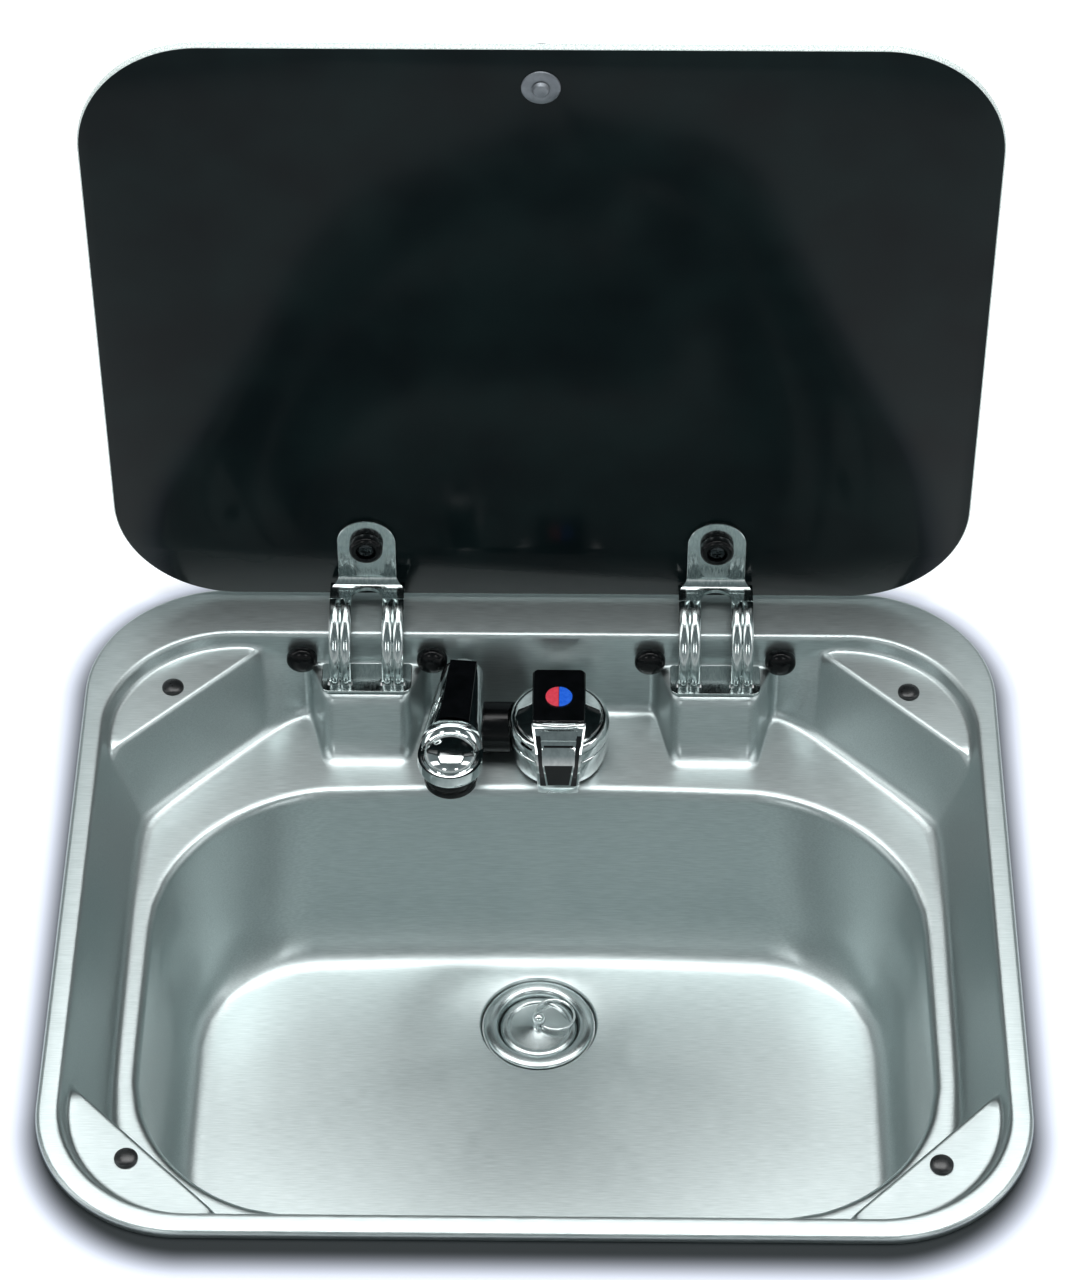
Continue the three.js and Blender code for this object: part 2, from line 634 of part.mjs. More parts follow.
// swan neck: a tab under the glass, a bridge with an arch, and two legs down to the hub
function hingeArm() {
  const halfTab = TAB_WIDTH / 2;
  const bendY = -Math.sqrt(ARM_RADIUS ** 2 - tabMiddle ** 2) + 0.8;
  const tab = new THREE.Shape();
  tab.moveTo(halfTab, bendY);
  tab.lineTo(-halfTab, bendY);
  tab.absarc(0, TAB_Y - 1.5, halfTab, Math.PI, 2 * Math.PI);
  const hole = new THREE.Path();
  hole.absarc(0, TAB_Y, BORE, 0, 2 * Math.PI, true);
  tab.holes.push(hole);
  const half = LEG_SPREAD / 2;
  const bridge = cut(
    pushX(arcBand(legInner, neckOuter, neckStart - 1, archCentre), -half, half, 3),
    rod(archRadius, 10, ARM_RADIUS + 5, 20).rotateX(deg(archCentre - 90)),
  );
  const parts = [pushZ(tab, TAB_TOP - TAB_THICKNESS, TAB_TOP), bridge, axleX(HUB_RADIUS, -half, half)];
  legCentres.forEach((x) => {
    const edge = LEG_WIDTH / 2;
    parts.push(pushX(arcBand(legInner, neckOuter, archCentre - 3, LEG_END), x - edge, x + edge, 7));
    [-1, 1].forEach((o) => {
      const mid = x + o * (edge - 2);
      const ridge = arcBand(ARM_RADIUS, neckOuter + LEG_RIDGE, neckStart + 6, LEG_END);
      parts.push(pushX(ridge, mid - 2, mid + 2, 7));
    });
    const web = block(x - edge, x + edge, HUB_RADIUS - 2, ARM_RADIUS, -WEB_WIDTH / 2, WEB_WIDTH / 2);
    parts.push(web.rotateX(deg(WEB_AT)));
  });
  return cut(join(...parts), axleX(PIN_RADIUS + SEAT_GAP, -half - 1, half + 1));
}

const CHEEK_INNER = LEG_SPREAD / 2 + 0.7;
const CHEEK = 2;
const BRACKET_Y = OPENING.rear + SHEET + SEAT_GAP;
const BRACKET_HALF = CAP_OFFSET + 5.5;

// behind the rear wall: a plate screwed through it, with two cheeks that carry the pin
function hingeBracket() {
  const y0 = BRACKET_Y - PIVOT.y;
  const plate = block(-BRACKET_HALF, BRACKET_HALF, y0, y0 + CHEEK, -1, 11.5);
  const side = polygon([
    [y0 + 0.5, -1], [-7, -7.5], [5, -7.5], [8, -4.5], [8, 4], [5, 8], [-4, 11.5], [y0 + 0.5, 11.5],
  ]);
  const cheeks = [-CHEEK_INNER - CHEEK, CHEEK_INNER].map((x) => pushX(side, x, x + CHEEK));
  const screwZ = PIVOT_DROP - CAP_DROP;
  const holes = [-1, 1].map((s) => rod(WALL_SCREW.radius + WALL_SCREW.gap, -8, 8, 12)
    .rotateX(Math.PI / 2).translate(s * CAP_OFFSET, y0, screwZ));
  const bore = axleX(PIN_RADIUS + 0.05, -BRACKET_HALF, BRACKET_HALF);
  return cut(join(plate, ...cheeks), bore, ...holes);
}

function hingePin() {
  const end = CHEEK_INNER + CHEEK + SEAT_GAP;
  return join(
    axleX(PIN_RADIUS, -end, end),
    axleX(PIN_RADIUS + 1.7, -end - 1.6, -end),
    axleX(PIN_RADIUS + 1.2, end, end + 1.2),
  );
}

function basePlate() {
  const half = PLATE.width / 2;
  const shape = roundRect(-half, half, fromRear(PLATE.front), fromRear(PLATE.rear), [PLATE.corner, 1.5]);
  const low = drop(BOSS_DROP) + 0.1;
  const high = low + PLATE.thickness;
  return cut(pushZ(shape, low, high, 5), ...legSlots(low - 2, high + 2));
}

// a domed cap on the rear wall, and the screw under it that holds the bracket
function wallCap() {
  const profilePoints = [
    [0, 2.6], [4.4, 2.6], [4.4, 0], [CAP_RADIUS, 0], [CAP_RADIUS, 1.8], [CAP_RADIUS * 0.92, 3.5],
    [CAP_RADIUS * 0.7, 5], [CAP_RADIUS * 0.36, 5.8], [0, CAP_HEIGHT],
  ];
  return turned(profilePoints, 16).rotateX(Math.PI / 2);
}

const wallScrew = () => turned([
  [0, -9.6], [WALL_SCREW.radius, -9], [WALL_SCREW.radius, 0.2], [3.8, 0.2], [3.6, 1.6], [0, 2.2],
], 8).rotateX(Math.PI / 2);

const CAP_Y = OPENING.rear - WALL_LEAN.rear * CAP_DROP / SHELF_DROP - 2.2;   // clear of the bends beside it

hingeSides.forEach(([side, s]) => {
  const onLid = place(lid, s * HINGE_X, 0, 0);
  add(`hinge_arm_${side}`, hingeArm(), hingeSteel, onLid);
  const low = TAB_TOP - TAB_THICKNESS - SEAT_GAP;
  const high = GLASS_HIGH + SEAT_GAP;
  const clamp = place(onLid, 0, TAB_Y, 0);
  add(`arm_cap_${side}`, turned([
    [4.6, low - 4.5], [6.8, low - 4.5], [7.8, low - 3.4], [7.8, low], [2.3, low], [2.3, low - 1.9],
    [4.6, low - 1.9],
  ], 16), rubber, clamp);
  add(`arm_screw_${side}`, turned([
    [0, low - 4.1], [3.4, low - 3.9], [4.2, low - 2.2], [1.9, low - 2.2], [1.9, high + 2.6], [0, high + 2.6],
  ], 10), zinc, clamp);
  add(`glass_cap_${side}`, turned([
    [2.3, high], [8, high], [8, high + 1.4], [6.4, high + 3.4], [0, high + 3.9], [0, high + 2.9],
    [2.3, high + 2.9],
  ], 16), blackPlastic, clamp);

  const fixed = place(group, s * HINGE_X, PIVOT.y, PIVOT.z);
  add(`hinge_bracket_${side}`, hingeBracket(), zinc, fixed);
  add(`hinge_pin_${side}`, hingePin(), zinc, fixed);
  add(`hinge_plate_${side}`, basePlate(), hingeSteel, place(group, s * HINGE_X, 0, 0));

  [['inner', -s], ['outer', s]].forEach(([where, o]) => {
    const at = place(group, s * HINGE_X + o * CAP_OFFSET, CAP_Y, drop(CAP_DROP));
    add(`wall_cap_${side}_${where}`, wallCap(), blackPlastic, at);
    add(`bracket_screw_${side}_${where}`, wallScrew(), zinc, at);
  });
});

// ---- mixer tap ----------------------------------------------------------------------

const tap = place(group, TAP.x, TAP_Y, RIM_HEIGHT);
const TAP_FOOT = SHELF_DROP - 1.4;
const BODY_FLOOR = TAP_FOOT - 3;

add('tap_gasket', tube(SHANK.radius + 0.9, 21, -SHELF_DROP + 0.2, -TAP_FOOT - 0.2, 28), rubber, tap);

add('tap_body', turned([
  [SHANK.inner, -TAP_FOOT], [TAP.radius - 2.1, -TAP_FOOT], [TAP.radius - 1.2, -TAP.groove - 12],
  [TAP.radius - 0.4, -TAP.groove - 4], [TAP.radius - 0.4, -TAP.groove - 1.7],
  [TAP.radius - 1.4, -TAP.groove - 1.3], [TAP.radius - 1.4, -TAP.groove - 0.4], [TAP.radius, -TAP.groove],
  [TAP.radius, -TAP.top - 3], [TAP.radius - 0.8, -TAP.top - 1.3], [TAP.radius - 1.8, -TAP.top],
  [TAP.radius - 2.8, -TAP.top], [TAP.radius - 3, -TAP.top - 0.7], [TAP.bore, -TAP.top - 0.7],
  [TAP.bore, -BODY_FLOOR], [SHANK.inner, -BODY_FLOOR],
], 30), chrome, tap);

const coverLow = -TAP.top - 0.4;
const coverHigh = coverLow + 1.3;
add('tap_cartridge', turned([
  [0, -BODY_FLOOR + 0.3], [TAP.bore - 0.3, -BODY_FLOOR + 0.3], [TAP.bore - 0.3, coverLow - 0.7],
  [5.7, coverLow - 0.7], [5.7, -33], [0, -33],
], 28), blackPlastic, tap);
const COVER_GAP = 3.3;                // in from the body's side to the cover
add('cartridge_cover', tube(9, TAP.radius - COVER_GAP, coverLow, coverHigh, 28), chrome, tap);

const pinZ = -LEVER.pinDrop;
add('cartridge_stem', cut(
  turned([[0, -32.6], [5.3, -32.6], [5.3, -23], [4.6, -22], [4.6, pinZ], [3.6, -16.6], [0, -16.3]], 14),
  axleX(1.5, -8, 8, 14).translate(0, 0, pinZ),
), blackPlastic, tap);
add('lever_pin', axleX(1.45, -8.9, 8.9, 14), zinc, place(tap, 0, 0, pinZ));

// lever: a cap over the head that runs on into the handle, falling towards the bowl
const LEVER_REAR = 18.6;
const SLOPE_TOP = { y: -28.4, z: -24 };
const SLOPE_FOOT = { y: -33.4, z: -34.5 };

function lever() {
  const top = -LEVER.top;
  const side = polygon([
    [LEVER_REAR - 0.4, -13.2], [LEVER_REAR, -12.6], [LEVER_REAR, top - 0.8], [LEVER_REAR - 0.8, top],
    [-15.4, top], [-16.4, -12], [-24.4, -18], [SLOPE_TOP.y, SLOPE_TOP.z], [SLOPE_FOOT.y, SLOPE_FOOT.z],
    [-34.4, -37.2], [-33.8, -38.2], [-31.6, -38.2], [-30.4, -34.6], [-26.1, -23.6], [-24.2, -20.7],
    [-20, -18.6], [8, -16.8],
  ].reverse());
  const wide = LEVER.width / 2;
  const tip = LEVER.tipWidth / 2;
  const plan = new THREE.Shape();
  plan.moveTo(wide, -16);
  plan.lineTo(wide, LEVER_REAR - 3);
  plan.absarc(wide - 3, LEVER_REAR - 3, 3, 0, Math.PI / 2);
  plan.absarc(3 - wide, LEVER_REAR - 3, 3, Math.PI / 2, Math.PI);
  plan.lineTo(-wide, -16);
  plan.lineTo(-tip, -33);
  plan.quadraticCurveTo(0, -35.6, tip, -33);
  const lugs = [-9, 5.4].flatMap((x) => [
    axleX(2.2, x, x + 3.6, 16).translate(0, 0, pinZ), block(x, x + 3.6, -2.2, 2.2, pinZ, -14),
  ]);
  const shell = cut(common(pushX(side, -wide, wide), pushZ(plan, -40, 0, 5)), rod(7, -30, -14.5, 28));
  return cut(join(shell, ...lugs), axleX(1.5, -10, 10, 14).translate(0, 0, pinZ));
}

add('tap_lever', lever(), chrome, tap);
const INLAY_LOW = -LEVER.top + 0.2;
add('lever_top_inlay', pushZ(
  roundRect(0.45 - LEVER.width / 2, LEVER.width / 2 - 0.45, -15, LEVER_REAR - 0.9, [1, 2.4]),
  INLAY_LOW, INLAY_LOW + 0.8, 5,
), blackPlastic, tap);

// inlay on the handle's steep front
const handle = place(tap, 0, SLOPE_TOP.y, SLOPE_TOP.z);
handle.rotation.x = Math.atan2(SLOPE_TOP.z - SLOPE_FOOT.z, SLOPE_TOP.y - SLOPE_FOOT.y);
add('lever_front_inlay', pushZ(
  polygon([[-4.8, -10.4], [4.8, -10.4], [6.7, -0.8], [-6.7, -0.8]]), 0.2, 0.9,
), blackPlastic, handle);

// two half discs that mark hot and cold
function halfDisc(from) {
  const shape = new THREE.Shape();
  shape.absarc(0, 0, 6.1, from, from + Math.PI);
  return pushZ(shape, INLAY_LOW + 1, INLAY_LOW + 1.5, 10);
}

add('hot_mark', halfDisc(Math.PI / 2), hotRed, place(tap, -0.1, 0, 0));
add('cold_mark', halfDisc(-Math.PI / 2), coldBlue, place(tap, 0.1, 0, 0));

// link between the mixer and the spout's base, its end hollowed to the round body
const BASE_FACE = SPOUT.x + 8.6;
add('tap_link', cut(
  axleX(LINK.radius, BASE_FACE + SEAT_GAP, TAP.x, 32).translate(0, LINK_Y, drop(LINK.axisDrop)),
  rod(TAP.radius + SEAT_GAP, drop(LINK.axisDrop + 2 * LINK.radius), drop(LINK.axisDrop - 2 * LINK.radius), 48)
    .translate(TAP.x, TAP_Y, 0),
), blackPlastic);

// fixed foot of the spout: a round column with a cross piece for the link
function spoutBase() {
  const column = rod(8, drop(SHELF_DROP - 0.3), drop(SPOUT_HEIGHT.foot + SEAT_GAP), 28)
    .translate(SPOUT.x, SPOUT_Y, 0);
  const cross = axleX(LINK.radius, SPOUT.x - 8.5, BASE_FACE, 32).translate(0, LINK_Y, drop(LINK.axisDrop));
  const bore = rod(SPIGOT_RADIUS + 0.08, drop(36), 0, 28).translate(SPOUT.x, SPOUT_Y, 0);
  return cut(join(column, cross), bore);
}

add('spout_base', spoutBase(), chrome);

// spout, drawn along -Y from its swivel axis and turned to point at its outlet
const spoutRun = Math.hypot(SPOUT.frontX - SPOUT.x, OUTLET_Y - SPOUT_Y);
const spout = place(group, SPOUT.x, SPOUT_Y, RIM_HEIGHT);
spout.rotation.z = -Math.atan2(SPOUT.x - SPOUT.frontX, SPOUT_Y - OUTLET_Y);
const POCKET = { rear: 5.4, front: 3.4, halfRear: 6.5, halfFront: 7.5, depth: 1.1 };

function spoutPlan() {
  const lean = Math.asin((SPOUT.frontRadius - SPOUT.rearRadius) / spoutRun);
  const shape = new THREE.Shape();
  shape.absarc(0, 0, SPOUT.rearRadius, lean, Math.PI - lean);
  shape.absarc(0, -spoutRun, SPOUT.frontRadius, Math.PI - lean, 2 * Math.PI + lean);
  return shape;
}

// the inlay's outline: straight at the rear, following the round outlet at the front
function pocketPlan(inset) {
  const { rear, front, halfRear, halfFront } = POCKET;
  const shape = new THREE.Shape();
  const y = -spoutRun - front + inset;
  shape.moveTo(halfRear - inset, rear - inset);
  shape.lineTo(-halfRear + inset, rear - inset);
  shape.lineTo(-halfFront + inset, y + 4);
  shape.quadraticCurveTo(-halfFront + inset + 1, y, 0, y - 1.4);
  shape.quadraticCurveTo(halfFront - inset - 1, y, halfFront - inset, y + 4);
  return shape;
}

function spoutBody() {
  const bevel = 3;
  const height = SPOUT_HEIGHT.foot - SPOUT_HEIGHT.top;
  const hull = new THREE.ExtrudeGeometry(spoutPlan(), {
    depth: height - 2 * bevel, bevelThickness: bevel, bevelSize: bevel, bevelOffset: -bevel,
    bevelSegments: 3, curveSegments: 7,
  }).translate(0, 0, bevel - SPOUT_HEIGHT.foot);
  const pocket = pushZ(pocketPlan(0), -SPOUT_HEIGHT.top - POCKET.depth, 0, 8);
  return cut(join(hull, rod(SPIGOT_RADIUS, -34, -SPOUT_HEIGHT.foot + 3, 28)), pocket);
}

add('spout', spoutBody(), chrome, spout);
const inlayLow = -SPOUT_HEIGHT.top - POCKET.depth + 0.2;
add('spout_inlay', pushZ(pocketPlan(0.25), inlayLow, inlayLow + 1, 8), blackPlastic, spout);
const aeratorHigh = -SPOUT_HEIGHT.foot - 0.2;
add('spout_aerator', tube(9, 12.3, aeratorHigh - 8.8, aeratorHigh, 24), blackPlastic, place(spout, 0, -spoutRun, 0));

// below the shelf: threaded shank, its nut and the two supply tails
add('tap_shank', tube(SHANK.inner, SHANK.radius, -SHANK.foot, -TAP_FOOT - SEAT_GAP, 28), brass, tap);
const nutTop = -SHELF_DROP - SHEET - SEAT_GAP;
add('tap_nut', cut(
  rod(SHANK.radius + 4, nutTop - 8, nutTop, 6),
  rod(SHANK.radius + 0.4, nutTop - 9, nutTop + 1, 28),
), brass, tap);

function supplyTail() {
  const foot = -110;
  const barbs = [0, 1, 2, 3].flatMap((k) => [[4.6, foot + 6 * k], [5.6, foot + 5 + 6 * k]]);
  return turned([
    [3.2, foot], ...barbs, [4.8, foot + 24], [5.6, foot + 26], [5.6, -BODY_FLOOR - 0.6], [3.2, -BODY_FLOOR - 0.6],
  ], 10);
}

add('hot_tail', supplyTail(), brass, place(tap, -6.2, 0, 0));
add('cold_tail', supplyTail(), brass, place(tap, 6.2, 0, 0));

// ---- waste and plug -----------------------------------------------------------------

const waste = place(group, DRAIN.x, DRAIN_Y, drop(BOWL_DROP));
const seatZ = -DRAIN.recessDepth;
const flangeLow = seatZ + 1.1;
const CUP_RADIUS = DRAIN.hole - 0.6;
const cupFloor = -10.6;

const gasket = tube(DRAIN.hole + 0.2, FLANGE_RADIUS - 1, seatZ + 0.15, flangeLow - 0.15, 28);
add('drain_gasket', gasket, rubber, waste);

function drainFlange() {
  const cup = turned([
    [2.5, cupFloor - 2], [CUP_RADIUS, cupFloor - 2], [CUP_RADIUS, flangeLow], [FLANGE_RADIUS, flangeLow],
    [FLANGE_RADIUS, flangeLow + 0.7], [FLANGE_RADIUS - 0.9, 0.3], [21.8, 0.3], [19.6, -1.5],
    [18.5, -5], [18.5, cupFloor], [2.5, cupFloor],
  ], 28);
  const slots = [0, 1, 2, 3, 4, 5].map((k) =>
    block(6.5, 15.5, -2.6, 2.6, cupFloor - 4, cupFloor + 3).rotateZ(k * Math.PI / 3));
  return cut(cup, ...slots);
}

add('drain_flange', drainFlange(), chrome, waste);

const bodyTop = seatZ - SHEET - SEAT_GAP;
add('drain_body', turned([
  [TAIL.bore, -TAIL.foot], [TAIL.radius, -TAIL.foot], [TAIL.radius, -TAIL.top], [24.5, -22],
  [24.5, bodyTop - 3], [28, bodyTop - 3], [28, bodyTop],
  [DRAIN.hole + 0.2, bodyTop], [DRAIN.hole + 0.2, -20], [TAIL.bore, 1.5 - TAIL.top],
], 24), greyPlastic, waste);

const RING_Z = 0.8;
const ringTurn = deg(RING.turn);

// dished plug with a ball on a post; the ball is drilled for the pull ring
function plugDish() {
  const ball = 3;
  const arc = [-50, -20, 10, 40, 65].map((a) => [ball * Math.cos(deg(a)), RING_Z + ball * Math.sin(deg(a))]);
  const dish = turned([
    [0, -6.2], [15.9, -6.2], [15.9, -3.1], [PLUG_RADIUS, -2.8], [PLUG_RADIUS, -2.1], [17.3, -1.9],
    [12.5, -3.4], [7, -4.1], [2, -4.3], ...arc, [0, RING_Z + ball],
  ], 24);
  return cut(dish, axleX(1.5, -6, 6, 14).rotateZ(ringTurn + Math.PI / 2).translate(0, 0, RING_Z));
}

add('plug', plugDish(), chrome, waste);
add('plug_seal', turned([
  [16.2, -6], [17.7, -6], [18, -4.8], [18, -3.4], [16.2, -3.4],
], 24), rubber, waste);

// pull ring through the ball of the plug, lying down on its rim
add('plug_ring', new THREE.TorusGeometry(RING.radius, RING.wire, 6, 26)
  .translate(RING.radius, 0, 0).rotateY(-deg(RING.tilt)).rotateZ(ringTurn),
chrome, place(waste, 0, 0, RING_Z));

export default group;
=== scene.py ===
# A drop-in caravan sink in pressed stainless steel, with its smoked glass lid standing open, a low
# chrome mixer tap and a chrome waste. Lengths are in millimetres until they reach Blender.
import json
import math

import bmesh
import bpy
from mathutils import Matrix, Vector


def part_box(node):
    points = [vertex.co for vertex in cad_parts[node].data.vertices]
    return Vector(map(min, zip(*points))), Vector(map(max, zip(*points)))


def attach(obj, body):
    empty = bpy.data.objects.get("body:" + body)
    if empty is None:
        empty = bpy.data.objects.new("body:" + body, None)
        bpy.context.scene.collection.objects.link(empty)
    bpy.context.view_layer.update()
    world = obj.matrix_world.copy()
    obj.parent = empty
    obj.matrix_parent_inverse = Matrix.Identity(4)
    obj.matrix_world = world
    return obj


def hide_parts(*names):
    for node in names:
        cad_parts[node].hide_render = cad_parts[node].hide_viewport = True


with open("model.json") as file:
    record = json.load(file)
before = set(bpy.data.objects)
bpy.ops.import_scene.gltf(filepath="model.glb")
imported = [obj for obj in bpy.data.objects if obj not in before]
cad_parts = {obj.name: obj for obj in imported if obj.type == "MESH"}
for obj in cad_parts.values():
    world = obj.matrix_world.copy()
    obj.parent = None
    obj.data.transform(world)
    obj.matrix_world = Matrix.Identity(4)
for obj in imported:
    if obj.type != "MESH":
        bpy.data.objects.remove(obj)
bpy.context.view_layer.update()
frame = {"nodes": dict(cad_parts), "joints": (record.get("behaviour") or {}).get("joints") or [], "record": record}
nodes = frame["nodes"]
body_of = {node: body for body, names in frame["record"]["behaviour"]["bodies"].items() for node in names}
MM = 0.001


# ---- frames of the moving parts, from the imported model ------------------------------

joints = {j["name"]: j for j in frame["joints"]}
RIM_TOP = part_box("sink_pan")[1].z / MM
LID_SWING = joints["lid_hinge"]["range_deg"][1]
PIVOT = Vector(joints["lid_hinge"]["pos_m"]) / MM
TAP_AXIS = Vector(joints["lever_turn"]["pos_m"]) / MM
SPOUT_AXIS = Vector(joints["spout_swivel"]["pos_m"]) / MM
FLOOR_DROP = 135
LID = Matrix.Translation((0, PIVOT.y, PIVOT.z)) @ Matrix.Rotation(math.radians(-LID_SWING), 4, "X")
TAP = Matrix.Translation((TAP_AXIS.x, TAP_AXIS.y, RIM_TOP))
SPOUT_FRONT = Vector((-41, 92, 0))
SPOUT_TURN = math.atan2(SPOUT_AXIS.x - SPOUT_FRONT.x, SPOUT_AXIS.y - SPOUT_FRONT.y)
SPOUT = Matrix.Translation((SPOUT_AXIS.x, SPOUT_AXIS.y, RIM_TOP)) @ Matrix.Rotation(-SPOUT_TURN, 4, "Z")
WASTE = Matrix.Translation((0, 32, RIM_TOP - FLOOR_DROP))
HINGE_X = 81.5


# ---- camera -------------------------------------------------------------------------

def place_camera():
    """The view of the photo, solved from the outlines of the rim, the waste and the lid."""
    data = bpy.data.cameras.new("camera")
    data.sensor_fit = "AUTO"
    data.sensor_width = 36
    data.lens = 114.98
    camera = bpy.data.objects.new("camera", data)
    camera.location = (0.0162, -1.1645, 1.3825)
    camera.rotation_euler = [math.radians(a) for a in (43.69, 0.16, 0.69)]
    bpy.context.scene.collection.objects.link(camera)
    bpy.context.scene.camera = camera


place_camera()


# ---- materials ----------------------------------------------------------------------

def linear(hex_colour):
    """An sRGB hex colour as linear RGBA."""
    parts = [int(hex_colour[i:i + 2], 16) / 255 for i in (1, 3, 5)]
    return [c / 12.92 if c <= 0.04045 else ((c + 0.055) / 1.055) ** 2.4 for c in parts] + [1.0]


def add_node(tree, kind, settings=None, inputs=None, links=None):
    """A node with its settings, its socket values and the sockets that feed it."""
    node = tree.nodes.new(kind)
    for key, value in (settings or {}).items():
        setattr(node, key, value)
    for key, value in (inputs or {}).items():
        node.inputs[key].default_value = value
    for key, source in (links or {}).items():
        tree.links.new(source, node.inputs[key])
    return node


def surface(name, sockets):
    """A material with one Principled shader, and its node tree."""
    material = bpy.data.materials.new(name)
    material.use_nodes = True
    shader = material.node_tree.nodes["Principled BSDF"]
    for key, value in sockets.items():
        shader.inputs[key].default_value = value
    return material, material.node_tree, shader


def grain(tree, size_mm, stretch=(1, 1, 1), detail=3.0):
    """Noise with features of about that size, in the object's own millimetres."""
    place = add_node(tree, "ShaderNodeTexCoord")
    scaled = add_node(tree, "ShaderNodeMapping", inputs={"Scale": stretch},
                      links={"Vector": place.outputs["Object"]})
    return add_node(tree, "ShaderNodeTexNoise", inputs={"Scale": 1000 / size_mm, "Detail": detail},
                    links={"Vector": scaled.outputs["Vector"]}).outputs["Fac"]


def ramp(tree, source, low, high, at=(0.35, 0.65)):
    """A colour ramp between two linear colours."""
    node = add_node(tree, "ShaderNodeValToRGB", links={"Fac": source})
    for stop, colour, place in zip(node.color_ramp.elements, (low, high), at):
        stop.color = colour
        stop.position = place
    return node.outputs["Color"]


def finish(name, size_mm, colours, roughness, sockets, stretch=(1, 1, 1), detail=3.0, bump=None, radial=None):
    """A material whose tint and roughness follow one noise. bump is its depth in mm and its strength, and
    radial is the axis round which the metal was turned or brushed."""
    material, tree, shader = surface(name, sockets)
    noise = grain(tree, size_mm, stretch, detail)
    low, high = [linear(colour) for colour in colours]
    tree.links.new(ramp(tree, noise, low, high), shader.inputs["Base Color"])
    span = {"From Min": 0.3, "From Max": 0.7, "To Min": roughness[0], "To Max": roughness[1]}
    rough = add_node(tree, "ShaderNodeMapRange", inputs=span, links={"Value": noise})
    tree.links.new(rough.outputs["Result"], shader.inputs["Roughness"])
    if bump:
        dents = add_node(tree, "ShaderNodeBump", inputs={"Distance": bump[0] * MM, "Strength": bump[1]},
                         links={"Height": noise})
        tree.links.new(dents.outputs["Normal"], shader.inputs["Normal"])
    if radial:
        along = add_node(tree, "ShaderNodeTangent", {"direction_type": "RADIAL", "axis": radial})
        tree.links.new(along.outputs["Tangent"], shader.inputs["Tangent"])
    return material


METAL = {"Metallic": 1.0}
RESIN = {"IOR": 1.49, "Coat Weight": 0.3}

# 18/10 stainless sheet, deep drawn and satin brushed: a soft grey mirror, drawn out across its short grain,
# which runs along X. The grit lines are 0.1 mm apart on the real sheet and 0.5 mm here, so that they show.
STEEL = finish("satin_stainless_sheet", 0.5, ("#b8c2c2", "#c6cfcf"), (0.33, 0.39),
               METAL | {"Anisotropic": 0.55}, (0.06, 1, 1), 4, bump=(0.003, 0.4), radial="X")
# Bright chrome plate over brass: a clear mirror with faint wiping marks.
CHROME = finish("polished_chrome_plate", 3, ("#d3d8d8", "#e6eaea"), (0.03, 0.09), METAL, (1, 1, 0.3), 2)
# Stainless strip of the hinges, pressed, tumbled and polished: bright but softer than chrome.
HINGE = finish("pressed_polished_steel", 0.7, ("#b4bebe", "#ccd4d3"), (0.1, 0.2), METAL, (1, 0.25, 0.25), 2,
               bump=(0.003, 0.25))
# Stainless of the waste, turned on a lathe: rings too fine to see, so that light fans out from its middle.
TURNED = finish("turned_stainless_disc", 12, ("#b4bebe", "#c2caca"), (0.23, 0.26),
                METAL | {"Anisotropic": 0.75, "Anisotropic Rotation": 0.25}, radial="Z")
# Bright zinc plated steel of screws, pins and brackets: grey, slightly clouded.
ZINC = finish("zinc_plated_steel", 4, ("#7d8588", "#a3abad"), (0.3, 0.45), METAL)
# Steel screws blackened in hot oil: nearly black, with a dull shine on the raised edges.
BURNISHED = finish("oil_blackened_steel", 3, ("#2c3032", "#43494b"), (0.2, 0.34), METAL)
# Satin nickel plate on the disc that backs the lid's knob: grey and dull, with a soft even sheen.
NICKEL = finish("satin_nickel_plate", 5, ("#6d7277", "#82878c"), (0.42, 0.55), METAL)
# Turned brass of the tap's shank and tails: fine turning rings.
BRASS = finish("machined_brass", 0.8, ("#9c8550", "#c2a96b"), (0.25, 0.4), METAL, (0.1, 0.1, 1))
# Toughened glass, 4 mm, enamelled black on its outer side: a deep green-black gloss.
GLASS = finish("smoked_toughened_glass", 45, ("#0c1416", "#111c1d"), (0.1, 0.16),
               {"IOR": 1.5, "Specular IOR Level": 0.08}, detail=2)
# The lid's ground and polished edge, where the glass looks pale green-white.
GLASS_EDGE = finish("ground_glass_edge", 0.6, ("#c9d8d4", "#eef4f2"), (0.2, 0.35),
                    {"IOR": 1.5, "Transmission Weight": 0.15})
# Moulded black acetal with a semi-gloss skin.
PLASTIC = finish("moulded_black_plastic", 0.4, ("#040506", "#090a0c"), (0.16, 0.26),
                 {"IOR": 1.48, "Specular IOR Level": 0.22}, detail=2, bump=(0.006, 0.2))
# Polished black acrylic let into the chrome of the tap: nearly a mirror.
INLAY = finish("polished_black_acrylic", 6, ("#050607", "#0a0b0d"), (0.05, 0.1),
               {"IOR": 1.49, "Coat Weight": 0.5, "Coat Roughness": 0.02})
# Moulded EPDM rubber of the bumpers and gaskets: black with a soft shine.
RUBBER = finish("moulded_black_rubber", 0.7, ("#0b0d0e", "#15181a"), (0.26, 0.38),
                {"IOR": 1.52, "Sheen Weight": 0.1}, bump=(0.02, 0.4))
# Moulded dark grey polypropylene of the waste body under the bowl.
WASTE_PLASTIC = finish("moulded_grey_polypropylene", 0.5, ("#25282a", "#34383a"), (0.42, 0.55), {"IOR": 1.49},
                       bump=(0.02, 0.3))
# Coloured resin filled flush into the lever's plate: the hot and the cold mark.
RED = finish("red_resin_mark", 1.5, ("#dc3f52", "#e8505f"), (0.15, 0.25), RESIN)
BLUE = finish("blue_resin_mark", 1.5, ("#1f5fe0", "#3474ec"), (0.15, 0.25), RESIN)

